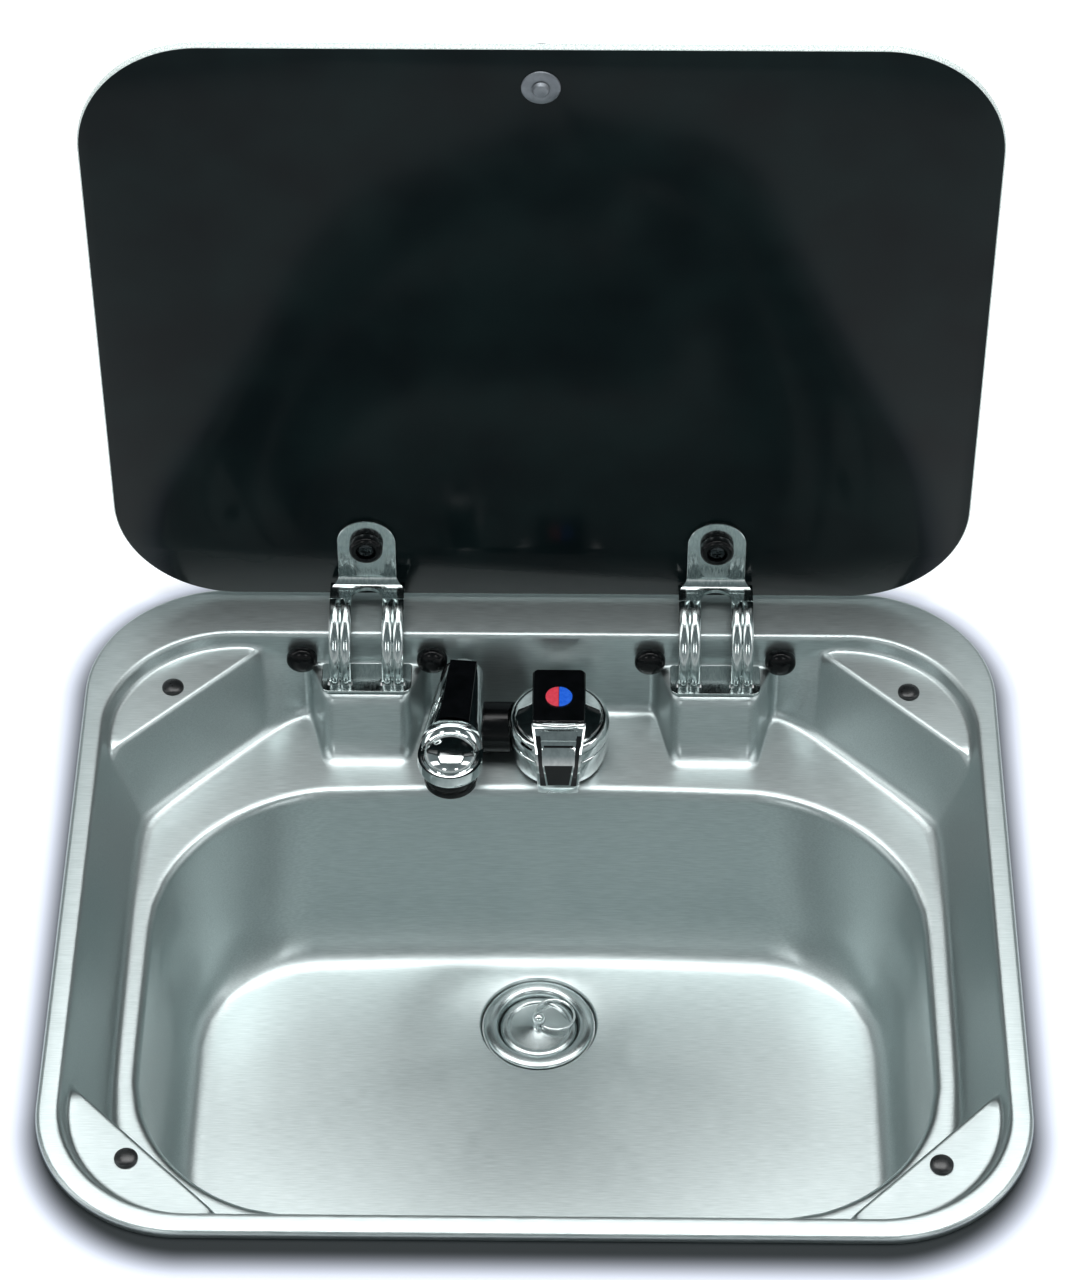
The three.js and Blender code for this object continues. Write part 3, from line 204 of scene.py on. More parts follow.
FINISH = {
    "pan_steel": STEEL, "chrome": CHROME, "hinge_steel": HINGE, "plated_steel": ZINC, "dark_glass": GLASS,
    "black_plastic": PLASTIC, "rubber": RUBBER, "brass": BRASS, "grey_plastic": WASTE_PLASTIC,
    "hot_red": RED, "cold_blue": BLUE,
}
slot_of = {s["node"]: s["material_slot"] for s in frame["record"]["subparts"]}


# ---- making pieces ------------------------------------------------------------------

def shade(mesh, sharp_deg=32):
    """Smooth shading that breaks at real edges."""
    bm = bmesh.new()
    bm.from_mesh(mesh)
    bmesh.ops.remove_doubles(bm, verts=bm.verts, dist=1e-6)
    bmesh.ops.recalc_face_normals(bm, faces=bm.faces)
    for face in bm.faces:
        face.smooth = True
    for edge in bm.edges:
        edge.smooth = edge.is_manifold and edge.calc_face_angle(0) < math.radians(sharp_deg)
    bm.to_mesh(mesh)
    bm.free()


def dress(obj, material, node, sharp_deg=32):
    """The shading, the finish, and the CAD node this piece stands for."""
    shade(obj.data, sharp_deg)
    if not obj.data.materials:
        obj.data.materials.append(material)
    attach(obj, body_of[node])
    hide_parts(node)
    return obj


def new_object(name, verts, faces, frame_mm=Matrix.Identity(4)):
    """An object from points in millimetres in one of the frames above."""
    mesh = bpy.data.meshes.new(name)
    mesh.from_pydata([(frame_mm @ Vector(v)) * MM for v in verts], [], faces)
    obj = bpy.data.objects.new(name, mesh)
    bpy.context.scene.collection.objects.link(obj)
    return obj


def arc(centre, radii, first_deg, last_deg, steps):
    """Points of an elliptical arc in a profile or an outline, both ends included."""
    angles = [math.radians(first_deg + (last_deg - first_deg) * k / steps) for k in range(steps + 1)]
    return [(centre[0] + radii[0] * math.cos(a), centre[1] + radii[1] * math.sin(a)) for a in angles]


def softened(pairs, bevel=0.25):
    """A profile whose corners are cut by a small round of three points."""
    out = []
    count = len(pairs)
    for i, here in enumerate(pairs):
        before, after = pairs[i - 1], pairs[(i + 1) % count]
        p, a, b = Vector(here), Vector(before), Vector(after)
        on_axis = here[0] < 1e-6
        turn = (p - a).angle(b - p, 0)
        run = min(bevel, 0.4 * (p - a).length, 0.4 * (b - p).length)
        if on_axis or turn < 0.3 or run < 1e-3:
            out.append(tuple(p))
            continue
        start, end = p + (a - p).normalized() * run, p + (b - p).normalized() * run
        out += [tuple(start), tuple((start + end + 2 * p) / 4), tuple(end)]
    return out


def turned(name, pairs, frame_mm, segments=72, bevel=0.25):
    """A closed body of revolution about the frame's Z."""
    rings = softened(pairs, bevel)
    verts, faces, start = [], [], []
    for r, z in rings:
        start.append(len(verts))
        if r < 1e-6:
            verts.append((0, 0, z))
        else:
            verts += [(r * math.cos(2 * math.pi * k / segments), r * math.sin(2 * math.pi * k / segments), z)
                      for k in range(segments)]
    closed = pairs[0][0] > 1e-6 or pairs[-1][0] > 1e-6
    spans = len(rings) if closed else len(rings) - 1
    for i in range(spans):
        j = (i + 1) % len(rings)
        flat_i, flat_j = rings[i][0] < 1e-6, rings[j][0] < 1e-6
        for k in range(segments):
            n = (k + 1) % segments
            if flat_i and flat_j:
                break
            if flat_i:
                faces.append((start[i], start[j] + n, start[j] + k))
            elif flat_j:
                faces.append((start[i] + k, start[i] + n, start[j]))
            else:
                faces.append((start[i] + k, start[i] + n, start[j] + n, start[j] + k))
    return new_object(name, verts, faces, frame_mm)


def round_edges(obj, width_mm, over_deg=32):
    """A small bevel along the edges that turn by more than that angle."""
    bevel = obj.modifiers.new("round_edges", "BEVEL")
    bevel.width = width_mm * MM
    bevel.segments = 2
    bevel.limit_method = "ANGLE"
    bevel.angle_limit = math.radians(over_deg)


def refined(node, material, edge_mm=0.25):
    """A CAD node with welded faces and small round edges."""
    mesh = nodes[node].data.copy()
    mesh.materials.clear()
    obj = bpy.data.objects.new(node + "_finished", mesh)
    bpy.context.scene.collection.objects.link(obj)
    bm = bmesh.new()
    bm.from_mesh(mesh)
    bmesh.ops.remove_doubles(bm, verts=bm.verts, dist=1e-6)
    bmesh.ops.dissolve_limit(bm, angle_limit=math.radians(1), verts=bm.verts, edges=bm.edges)
    bm.to_mesh(mesh)
    bm.free()
    dress(obj, material, node)
    round_edges(obj, edge_mm)
    return obj


def carve(obj, *cutters):
    """Takes the cutters out of the object and removes them."""
    for tool in cutters:
        cut = obj.modifiers.new("cut", "BOOLEAN")
        cut.operation = "DIFFERENCE"
        cut.solver = "EXACT"
        cut.object = tool
    bpy.context.view_layer.update()
    result = bpy.data.meshes.new_from_object(obj.evaluated_get(bpy.context.evaluated_depsgraph_get()))
    obj.modifiers.clear()
    obj.data = result
    for tool in cutters:
        bpy.data.objects.remove(tool)
    return obj


def loft(name, sections, frame_mm):
    """A closed body through sections that all have the same number of points."""
    count, last = len(sections[0]), len(sections) - 1
    faces = [tuple(range(count))[::-1]]
    for k in range(0, last * count, count):
        for i in range(count):
            n = (i + 1) % count
            faces.append((k + i, k + n, k + count + n, k + count + i))
    faces.append(tuple(last * count + i for i in range(count)))
    return new_object(name, [point for section in sections for point in section], faces, frame_mm)


def joined(name, parts):
    """One object from separate bodies."""
    mesh = bpy.data.meshes.new(name)
    bm = bmesh.new()
    for part in parts:
        bm.from_mesh(part.data)
        bpy.data.objects.remove(part)
    bm.to_mesh(mesh)
    bm.free()
    obj = bpy.data.objects.new(name, mesh)
    bpy.context.scene.collection.objects.link(obj)
    return obj


def box_tool(low, high, frame_mm=Matrix.Identity(4)):
    """A block between two corners, to cut with or to join."""
    (x0, y0, z0), (x1, y1, z1) = low, high
    return loft("tool", [[(x0, y0, z), (x1, y0, z), (x1, y1, z), (x0, y1, z)] for z in (z0, z1)], frame_mm)


def round_tool(radius, z0, z1, frame_mm, segments=48):
    """A round bar along the frame's Z, to cut with or to join."""
    return turned("tool", [(0, z0), (radius, z0), (radius, z1), (0, z1)], frame_mm, segments, 0)


def round_rect(half_x, y0, y1, r, steps=24):
    """A rounded rectangle, counter-clockwise."""
    near, low, high = half_x - r, y0 + r, y1 - r
    corners = ((near, low, -90), (near, high, 0), (-near, high, 90), (-near, low, 180))
    return [point for cx, cy, first in corners for point in arc((cx, cy), (r, r), first, first + 90, steps)]


def prism(name, outline, layers, frame_mm):
    """A plate whose outline moves in by an inset at each of its layers [(inset, z), ...]."""
    count = len(outline)
    points = [Vector(p) for p in outline]
    normals = []
    for i in range(count):
        along = points[(i + 1) % count] - points[i - 1]
        normals.append(Vector((-along.y, along.x)).normalized())
    sections = [[(*(p + n * inset), z) for p, n in zip(points, normals)] for inset, z in layers]
    return loft(name, sections, frame_mm)


# ---- sink pan -----------------------------------------------------------------------
# The same pressed form as the CAD pan, with many more stations, softer bends, and front corners that follow
# the photo more closely.

PAN = {
    "half": 210, "half_y": 185, "corner": 65, "open_half": 200, "open_rear": 155, "open_front": -174.5,
    "open_corner": 57, "sheet": 0.9, "lip": 3.7, "ledge": 8, "boss": 18, "shelf": 48, "floor": FLOOR_DROP,
}
LEAN = {"side": 14, "rear": 2, "front": 13.5}
REAR_LEG, REAR_INSET = 70.7, 12
FRONT_LEG, FRONT_INSET = 74.5, 8
BOSS_FRONT, BOSS_FOOT = 131.9, 122
BOSS = {"end": 31, "stand": 21, "corner": 7, "hollow": 5.5, "steep": math.radians(70)}
BOSS_BENDS = BOSS["corner"] + BOSS["hollow"]
BOSS_SLOPE = BOSS["stand"] - BOSS_BENDS * (1 - math.cos(BOSS["steep"]))
BOSS["run"] = BOSS_BENDS * math.sin(BOSS["steep"]) + BOSS_SLOPE / math.tan(BOSS["steep"])
FLOOR_FILLET, WALL_FILLET = 14, 25
RECESS_FLOOR = -2.2
BOWL_CROWN = 7
REAR_FAN, FRONT_FAN = (122, 45), (122, -85)


def round_box(half, y0, y1, front_corner, rear_corner):
    """Signed distance to a rectangle with round corners."""
    cy, hy = (y0 + y1) / 2, (y1 - y0) / 2

    def distance(x, y):
        r = rear_corner if y > cy else front_corner
        qx, qy = abs(x) - half + r, abs(y - cy) - hy + r
        return min(max(qx, qy), 0) + math.hypot(max(qx, 0), max(qy, 0)) - r
    return distance


def soft_max(a, b, k):
    """The larger of two distances, with the crease between them rounded over k."""
    return (a + b + math.hypot(a - b, k)) / 2


def diagonal(leg, side, inset=0):
    """Distance to the slanting edge of a corner ledge, at the rear (1) or the front (-1)."""
    edge = PAN["open_rear"] if side > 0 else -PAN["open_front"]
    return lambda x, y: ((abs(x) - PAN["open_half"] + leg) + (side * y - edge)) / math.sqrt(2) + inset


def wall_at(depth):
    """The upper wall, which leans in with depth."""
    lean = depth / PAN["shelf"]
    return round_box(PAN["open_half"] - LEAN["side"] * lean, PAN["open_front"] + LEAN["front"] * lean,
                     PAN["open_rear"] - LEAN["rear"] * lean, PAN["open_corner"], PAN["open_corner"])


def foot_outline():
    """Where the upper wall meets the shelf, with the ledges across its corners."""
    wall = wall_at(PAN["shelf"])
    rear, front = diagonal(REAR_LEG, 1, REAR_INSET), diagonal(FRONT_LEG, -1, FRONT_INSET)
    return lambda x, y: soft_max(soft_max(wall(x, y), rear(x, y), 8), front(x, y), 8)


def bowl_outline(half, rear, front, rear_corner, front_corner):
    """A round box whose rear side is crowned."""
    shape = round_box(half, front, rear, front_corner, rear_corner)
    return lambda x, y: shape(x, y + BOWL_CROWN * (x / half) ** 2 * max(0, y / rear))


OUTLINE = {
    "rim": round_box(PAN["half"], -PAN["half_y"], PAN["half_y"], PAN["corner"], PAN["corner"]),
    "opening": wall_at(0), "ledge_wall": wall_at(PAN["ledge"]),
    "rear_line": diagonal(REAR_LEG, 1), "front_line": diagonal(FRONT_LEG, -1), "foot": foot_outline(),
    "bowl_edge": bowl_outline(174.5, 101, -140, 80, 76), "bowl_foot": bowl_outline(166, 78, -128, 62, 66),
}


def reach(station, outline):
    """Distance along a station's line to an outline."""
    x, y, dx, dy = station
    near, far = 0.0, 400.0
    for _ in range(40):
        mid = (near + far) / 2
        if outline(x + dx * mid, y + dy * mid) < 0:
            near = mid
        else:
            far = mid
    return near


def mix(a, b, t):
    return a + (b - a) * t


def smooth_step(v, low, high):
    t = min(max((v - low) / (high - low), 0), 1)
    return t * t * (3 - 2 * t)


def boss_share(offset):
    """How far a hinge boss stands out at this distance from its middle, from 1 down to 0 at its foot."""
    corner, hollow, steep, stand = BOSS["corner"], BOSS["hollow"], BOSS["steep"], BOSS["stand"]
    into = offset - BOSS["end"] + BOSS["run"]
    left = BOSS["run"] - into
    if into <= 0:
        drop = 0
    elif left <= 0:
        drop = stand
    elif into < corner * math.sin(steep):
        drop = corner - math.sqrt(corner ** 2 - into ** 2)
    elif left < hollow * math.sin(steep):
        drop = stand - hollow + math.sqrt(hollow ** 2 - left ** 2)
    else:
        drop = corner * (1 - math.cos(steep)) + (into - corner * math.sin(steep)) * math.tan(steep)
    return 1 - drop / stand


def bends(station):
    """Bends of one profile from lip to floor: distance, depth, bend length, points in the bend."""
    d = {name: reach(station, shape) for name, shape in OUTLINE.items()}
    ledge = min(d["ledge_wall"], d["rear_line"], d["front_line"])
    on_ledge = min(1, (d["ledge_wall"] - ledge) / 6)
    lean = (d["opening"] - d["ledge_wall"]) / PAN["ledge"]
    plain = PAN["ledge"] + 5
    ledge_depth = mix(plain, PAN["ledge"], on_ledge)
    ledge_edge = ledge - (1 - on_ledge) * lean * (plain - PAN["ledge"])

    def on_wall(depth):
        return mix(ledge_edge, d["foot"], (depth - ledge_depth) / (PAN["shelf"] - ledge_depth))

    share = 0
    if station[3] == 1:
        share = boss_share(abs(abs(station[0]) - HINGE_X))
    boss_depth = mix(PAN["boss"] + 4, PAN["boss"], share)
    return [
        (d["rim"], PAN["lip"], 0, 1), (d["rim"], 0, 2.5, 7), (d["opening"], 0, 2.5, 7),
        (d["ledge_wall"], PAN["ledge"], 2.5, 6), (ledge_edge, ledge_depth, 2, 6),
        (on_wall(PAN["boss"]), PAN["boss"], 2, 5),
        (mix(on_wall(boss_depth), BOSS_FRONT - station[1], share), boss_depth, mix(2.8, 5, share), 9),
        (mix(d["foot"], BOSS_FOOT - station[1], share), PAN["shelf"], mix(6, 10, share), 10),
        (d["bowl_edge"], PAN["shelf"], 5, 9), (d["bowl_foot"], PAN["floor"], FLOOR_FILLET, 18),
        (d["bowl_foot"] - FLOOR_FILLET - 1.6, PAN["floor"], 0, 1),
    ]


def profile(station):
    """Points of one profile, as distance and depth, with its bends rounded."""
    knees = bends(station)
    out = []
    for i, (d, z, length, count) in enumerate(knees):
        if count == 1:
            out.append((d, z))
            continue
        before, after = knees[i - 1], knees[i + 1]
        span_in = math.hypot(before[0] - d, before[1] - z)
        span_out = math.hypot(after[0] - d, after[1] - z)
        share_in, share_out = [0.9 if knee[3] == 1 else 0.45 for knee in (before, after)]
        run = min(length, share_in * span_in, share_out * span_out)
        run_in = WALL_FILLET if length == FLOOR_FILLET else run
        for k in range(count):
            t = k / (count - 1)
            a, b = run_in * (1 - t) ** 2 / span_in, run * t ** 2 / span_out
            out.append((d + (before[0] - d) * a + (after[0] - d) * b,
                        z + (before[1] - z) * a + (after[1] - z) * b))
    return out


def pan_stations():
    """Stations counter-clockwise round the pan, each (x, y, dx, dy)."""
    def fan(centre, leg, side, steps):
        edge = PAN["open_rear"] if side > 0 else PAN["open_front"]
        first = math.atan2(edge - side * leg - centre[1], PAN["open_half"] - 1 - centre[0])
        steepest = abs(math.atan2(edge - centre[1], PAN["open_half"] - leg - centre[0]))
        last = side * min(steepest, math.radians(87))
        angles = [first * k / 6 for k in range(6)] + [mix(first, last, k / steps) for k in range(steps + 1)]
        out = [(*centre, math.cos(a), math.sin(a)) for a in angles]
        return out + [(*centre, 0, side)]

    def flip(s):
        return (-s[0], s[1], -s[2], s[3])

    rear_fan, front_fan = fan(REAR_FAN, REAR_LEG, 1, 40), fan(FRONT_FAN, FRONT_LEG, -1, 40)
    boss = [HINGE_X + BOSS["end"] - BOSS["run"] * k / 20 for k in range(21)]
    boss += [2 * HINGE_X - x for x in reversed(boss)]
    rear = [118] + boss + [40, 30, 20, 10]
    rear = rear + [0] + [-x for x in reversed(rear)]
    side = [(REAR_FAN[0], mix(FRONT_FAN[1], REAR_FAN[1], k / 9), 1, 0) for k in range(1, 9)]
    front = [(mix(-FRONT_FAN[0], FRONT_FAN[0], k / 15), FRONT_FAN[1], 0, -1) for k in range(1, 15)]
    return (rear_fan + [(x, REAR_FAN[1], 0, 1) for x in rear] + [flip(s) for s in reversed(rear_fan)]
            + [flip(s) for s in reversed(side)] + [flip(s) for s in front_fan] + front
            + list(reversed(front_fan)) + side)


def make_pan():
    """The drawn pan: outer face, inner face, the floor and its waste recess."""
    around = pan_stations()
    top = [[Vector((x + dx * d, y + dy * d, RIM_TOP - z)) for d, z in profile((x, y, dx, dy))]
           for x, y, dx, dy in around]
    count, rows = len(top), len(top[0])
    under = []
    for i, column in enumerate(top):
        line = []
        for j, p in enumerate(column):
            along = top[(i + 1) % count][j] - top[i - 1][j]
            inward = column[min(j + 1, rows - 1)] - column[max(j - 1, 0)]
            q = p - along.cross(inward).normalized() * PAN["sheet"]
            if j == 0:
                q.z = p.z
            if j == rows - 1:
                q = p - Vector((0, 0, PAN["sheet"]))
            line.append(q)
        under.append(line)
    bm = bmesh.new()

    def ring(points):
        return [bm.verts.new(p * MM) for p in points]

    def strip(outer, inner):
        for i in range(len(outer)):
            n = (i + 1) % len(outer)
            bm.faces.new((outer[i], outer[n], inner[n], inner[i]))

    def circle(radius, z):
        turns = [2 * math.pi * k / 96 for k in range(96)]
        return ring([WASTE @ Vector((radius * math.cos(a), radius * math.sin(a), z)) for a in turns])

    def flat(outer, inner):
        edges = [bm.edges.get((loop[i - 1], loop[i])) for loop in (outer, inner) for i in range(len(loop))]
        bmesh.ops.triangle_fill(bm, edges=edges, use_beauty=True)

    upper = [ring([column[j] for column in top]) for j in range(rows)]
    lower = [ring([column[j] for column in under]) for j in range(rows)]
    for j in range(rows - 1):
        strip(upper[j], upper[j + 1])
        strip(lower[j + 1], lower[j])
    strip(lower[0], upper[0])
    t, seat = PAN["sheet"], RECESS_FLOOR
    recess = [circle(r, z) for r, z in ((28, 0), (27.5, -0.2), (26.8, -1.7), (26.5, seat), (22, seat))]
    below = [circle(r, z) for r, z in ((22, seat - t), (27.2, seat - t), (28.8, -t))]
    for a, b in zip(recess, recess[1:]):
        strip(a, b)
    strip(recess[-1], below[0])
    for a, b in zip(below, below[1:]):
        strip(a, b)
    flat(upper[-1], recess[0])
    flat(lower[-1], below[-1])
    mesh = bpy.data.meshes.new("pressed_sink_pan")
    bm.to_mesh(mesh)
    bm.free()
    obj = bpy.data.objects.new("pressed_sink_pan", mesh)
    bpy.context.scene.collection.objects.link(obj)
    tools = [round_tool(16.5, -53, -43, TAP)]
    for side in (-1, 1):
        for leg in (-12.25, 12.25):
            x = side * HINGE_X + leg
            tools.append(box_tool((x - 5.7, 138, RIM_TOP - 22), (x + 5.7, 142, RIM_TOP - 14)))
    carve(obj, *tools)
    return dress(obj, STEEL, "sink_pan", 50)


make_pan()


# ---- glass lid ----------------------------------------------------------------------

GLASS_LOW, GLASS_HIGH = 11.5, 15.5
GLASS_HALF = (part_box("glass_lid")[1] / MM).x
GLASS_REAR, GLASS_LENGTH = -18.5, 317
ARM_HOLE_Y = GLASS_REAR - 33.5
KNOB_Y = GLASS_REAR - GLASS_LENGTH + 20


def make_glass():
    """The plate with a ground edge; its edge faces take the paler finish."""
    outline = round_rect(GLASS_HALF, GLASS_REAR - GLASS_LENGTH, GLASS_REAR, 55, 32)
    chamfer = 0.7
    layers = [(chamfer, GLASS_LOW), (0.15, GLASS_LOW + 0.45), (0, GLASS_LOW + 1), (0, GLASS_HIGH - 1),
              (0.15, GLASS_HIGH - 0.45), (chamfer, GLASS_HIGH)]
    obj = prism("smoked_glass_lid", outline, layers, LID)
    holes = [round_tool(3.2, 5, 20, LID @ Matrix.Translation((x, y, 0)), 32)
             for x, y in ((0, KNOB_Y), (-HINGE_X, ARM_HOLE_Y), (HINGE_X, ARM_HOLE_Y))]
    carve(obj, *holes)
    obj.data.materials.append(GLASS)
    obj.data.materials.append(GLASS_EDGE)
    plate_normal = (LID.to_3x3() @ Vector((0, 0, 1))).normalized()
    for face in obj.data.polygons:
        face.material_index = 0 if abs(face.normal.dot(plate_normal)) > 0.999 else 1
    return dress(obj, GLASS, "glass_lid", 60)


make_glass()

knob_frame = LID @ Matrix.Translation((0, KNOB_Y, 0))
foot = GLASS_HIGH + 0.3
dress(turned("turned_lid_knob", [
    (2, foot), (11, foot), (11.5, foot + 1), (9.2, foot + 3.4), (8.8, foot + 6), (9.6, foot + 8.6),
    (11.4, foot + 10.5), (11.2, foot + 11.6), (9.6, foot + 12.6), (5, foot + 13.1), (0, foot + 13.2),
    (0, foot + 9), (2, foot + 9)], knob_frame, 72, 0.4), CHROME, "lid_knob")
plate = GLASS_LOW - 0.3
dress(turned("domed_knob_plate", [
    (2.6, plate - 1.2), (6, plate - 1.2), (8, plate - 0.7), (8.5, plate), (2.6, plate)],
    knob_frame, 72, 0.2), NICKEL, "knob_plate")
refined("knob_screw", NICKEL, 0.2)


# ---- hinges -------------------------------------------------------------------------

ARM = {"inner": 26.8, "middle": 27.6, "outer": 28.4, "ridge": 29.3, "web": 28.1, "half": 17.3, "leg": 10.08,
       "tab_half": 13.5, "tab_low": 9.2, "tab_top": 11.2}
ARCH_R = 7.25
NECK_START = 180 - math.degrees(math.asin((ARM["tab_low"] + ARM["tab_top"]) / 2 / ARM["middle"]))
ARCH_CENTRE = NECK_START + 10 + math.degrees(ARCH_R / ARM["middle"])
LEG_END = 214 + LID_SWING
WEB_AT = 210 + LID_SWING


def arc_strip(name, inner, outer, a0, a1, x0, x1, frame_mm, steps=40):
    """A bent strip about the frame's X axis."""
    sections = []
    for k in range(steps + 1):
        a = math.radians(mix(a0, a1, k / steps))
        c, s = math.cos(a), math.sin(a)
        sections.append([(x, r * c, r * s) for x, r in ((x0, inner), (x1, inner), (x1, outer), (x0, outer))])
    return loft(name, sections, frame_mm)


def merged(base, *others):
    """Joins closed solids into one."""
    for other in others:
        union = base.modifiers.new("join", "BOOLEAN")
        union.operation = "UNION"
        union.solver = "EXACT"
        union.object = other
    bpy.context.view_layer.update()
    result = bpy.data.meshes.new_from_object(base.evaluated_get(bpy.context.evaluated_depsgraph_get()))
    base.modifiers.clear()
    base.data = result
    for other in others:
        bpy.data.objects.remove(other)
    return base


def beaded_leg(x0, frame_mm, steps=56, across=28):
    """One leg of the swan neck, with two long beads that rise just past the arch."""
    first, foot, sections = ARCH_CENTRE - 3, ARM["inner"] + 0.01, []
    for k in range(steps + 1):
        angle = mix(first, LEG_END, k / steps)
        height = (ARM["ridge"] - ARM["web"]) * smooth_step(angle, first, first + 12)
        outline = [(x0, foot), (x0 + ARM["leg"], foot)]
        for i in range(across + 1):
            bead = abs(math.sin(2 * math.pi * i / across)) ** 0.7
            outline.append((x0 + ARM["leg"] * (1 - i / across), ARM["web"] + height * bead))
        c, s = math.cos(math.radians(angle)), math.sin(math.radians(angle))
        sections.append([(x, r * c, r * s) for x, r in outline])
    return loft("leg", sections, frame_mm)


def neck_fillet(frame_mm, radius=5, steps=14):
    """The hollow bend between the tab and the bridge, which widens from the one to the other."""
    cz = ARM["tab_low"] - radius
    cy = -math.sqrt((ARM["outer"] + radius) ** 2 - cz ** 2)
    last, inner, sections = math.atan2(-cz, -cy), ARM["inner"] + 0.5, []
    for k in range(steps + 1):
        a = mix(math.pi / 2, last, k / steps)
        y, z = cy + radius * math.cos(a), cz + radius * math.sin(a)
        half = mix(ARM["tab_half"], ARM["half"], smooth_step(k / steps, 0.1, 1)) - 0.02
        deep = (-inner * math.cos(math.asin(z / inner)), z + 0.4) if k else (y, z + 0.5)
        sections.append([(-half, y, z), (half, y, z), (half, *deep), (-half, *deep)])
    return loft("neck", sections, frame_mm)


def make_arm(side, sign):
    """Swan neck: round-ended tab, hollow neck, bridge with an arch, two beaded legs, webs and hub."""
    at = LID @ Matrix.Translation((sign * HINGE_X, 0, 0))
    half, leg, end, low, top = ARM["half"], ARM["leg"], ARM["tab_half"], ARM["tab_low"], ARM["tab_top"]
    along_x = Matrix.Rotation(math.pi / 2, 4, "Y")
    tab_end = arc((0, ARM_HOLE_Y - 1.5), (end, end), 180, 360, 32)
    tab = prism("tab", [(end, -24.8), (-end, -24.8)] + tab_end,
                [(0.25, low), (0, low + 0.25), (0, top - 0.25), (0.25, top)], at)
    bridge = arc_strip("bridge", ARM["inner"], ARM["outer"], NECK_START - 1, ARCH_CENTRE, -half, half, at, 20)
    arch = round_tool(ARCH_R, 10, 33, at @ Matrix.Rotation(math.radians(ARCH_CENTRE - 90), 4, "X"))
    merged(bridge, neck_fillet(at))
    carve(bridge, arch)
    parts = [bridge, round_tool(6, -half, half, at @ along_x)]
    for x in (-half, half - leg):
        parts.append(beaded_leg(x + 0.01, at))
        web = at @ Matrix.Rotation(math.radians(WEB_AT), 4, "X")
        parts.append(box_tool((x + 0.1, 4, -3), (x + leg - 0.1, 27.6, 3), web))
    arm = merged(tab, *parts)
    arm.name = arm.data.name = f"pressed_hinge_arm_{side}"
    carve(arm, round_tool(3.3, -half - 1, half + 1, at @ along_x),
          round_tool(3.2, 5, 15, at @ Matrix.Translation((0, ARM_HOLE_Y, 0))))
    dress(arm, HINGE, f"hinge_arm_{side}")
    round_edges(arm, 0.35, 40)


def cross_recess(frame_mm, depth_to, size=2.1):
    """The cutters of a cross-head screw's recess."""
    return [box_tool((-size, -0.4, depth_to), (size, 0.4, depth_to + 4), frame_mm),
            box_tool((-0.4, -size, depth_to), (0.4, size, depth_to + 4), frame_mm)]


def make_hinge_fittings(side, sign):
    """Rubber cap and screw on the inner side of the glass, and the cap nut outside."""
    at = LID @ Matrix.Translation((sign * HINGE_X, ARM_HOLE_Y, 0))
    low, high = ARM["tab_low"] - 0.3, GLASS_HIGH + 0.3
    dress(turned(f"moulded_arm_cap_{side}", [
        (4.6, low - 4.5), (6.6, low - 4.5), (7.6, low - 3.6), (7.8, low - 2.4), (7.8, low), (2.3, low),
        (2.3, low - 1.9), (4.6, low - 1.9)], at, 72, 0.3), PLASTIC, f"arm_cap_{side}")
    screw = turned(f"cross_head_screw_{side}", [
        (0, low - 4.1), (2.2, low - 4.0), (3.6, low - 3.5), (4.2, low - 2.2), (1.9, low - 2.2),
        (1.9, high + 2.6), (0, high + 2.6)], at, 48, 0.15)
    facing_down = at @ Matrix.Translation((0, 0, low - 4.1)) @ Matrix.Rotation(math.pi, 4, "X")
    carve(screw, *cross_recess(facing_down, -1.2))
    dress(screw, BURNISHED, f"arm_screw_{side}")
    dress(turned(f"moulded_glass_cap_{side}", [
        (2.3, high), (8, high), (8, high + 1.4), (7.4, high + 2.6), (6, high + 3.4), (3, high + 3.8),
        (0, high + 3.9), (0, high + 2.9), (2.3, high + 2.9)], at, 72, 0.2), PLASTIC, f"glass_cap_{side}")


def make_wall_caps(side, sign):
    """Black caps pushed over the bracket screws on the rear wall."""
    for where, offset in (("inner", -sign), ("outer", sign)):
        node = f"wall_cap_{side}_{where}"
        low, high = [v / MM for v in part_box(node)]
        middle = (low + high) / 2
        radius, height = (high.x - low.x) / 2, high.y - low.y
        at = Matrix.Translation((middle.x, high.y, middle.z)) @ Matrix.Rotation(math.pi / 2, 4, "X")
        dome = arc((0, height * 0.35), (radius, height * 0.65), 0, 72, 6)
        dress(turned(f"domed_{node}", [(0, 2.6), (4.4, 2.6), (4.4, 0), (radius, 0)] + dome + [(0, height)],
                     at, 64, 0.2), PLASTIC, node)


for side, sign in (("left", -1), ("right", 1)):
    make_arm(side, sign)
    make_hinge_fittings(side, sign)
    make_wall_caps(side, sign)
    refined(f"hinge_plate_{side}", HINGE, 0.3)
    refined(f"hinge_bracket_{side}", ZINC, 0.3)
    refined(f"hinge_pin_{side}", ZINC, 0.3)


# ---- lid bumpers --------------------------------------------------------------------

for row in ("front", "rear"):
    for side in ("left", "right"):
        node = f"bumper_{row}_{side}"
        low, high = [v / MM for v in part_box(node)]
        r, h = (high.x - low.x) / 2, high.z - low.z
        at = Matrix.Translation(((low.x + high.x) / 2, (low.y + high.y) / 2, low.z))
        dome = arc((0, h * 0.3), (r, h * 0.7), 0, 80, 8)
        dress(turned(f"moulded_{node}", [(0, 0), (r, 0)] + dome + [(0, h)], at, 64, 0), RUBBER, node)


# ---- mixer tap ----------------------------------------------------------------------

# the lever's front, seen from the side: below the top plate, step, band, inlay (forward and height)
LEVER_STEP, LEVER_BAND = Vector((-16.4, -12)), Vector((-24.4, -18))
LEVER_INLAY, LEVER_FOOT = Vector((-28.4, -24)), Vector((-33.4, -34.5))


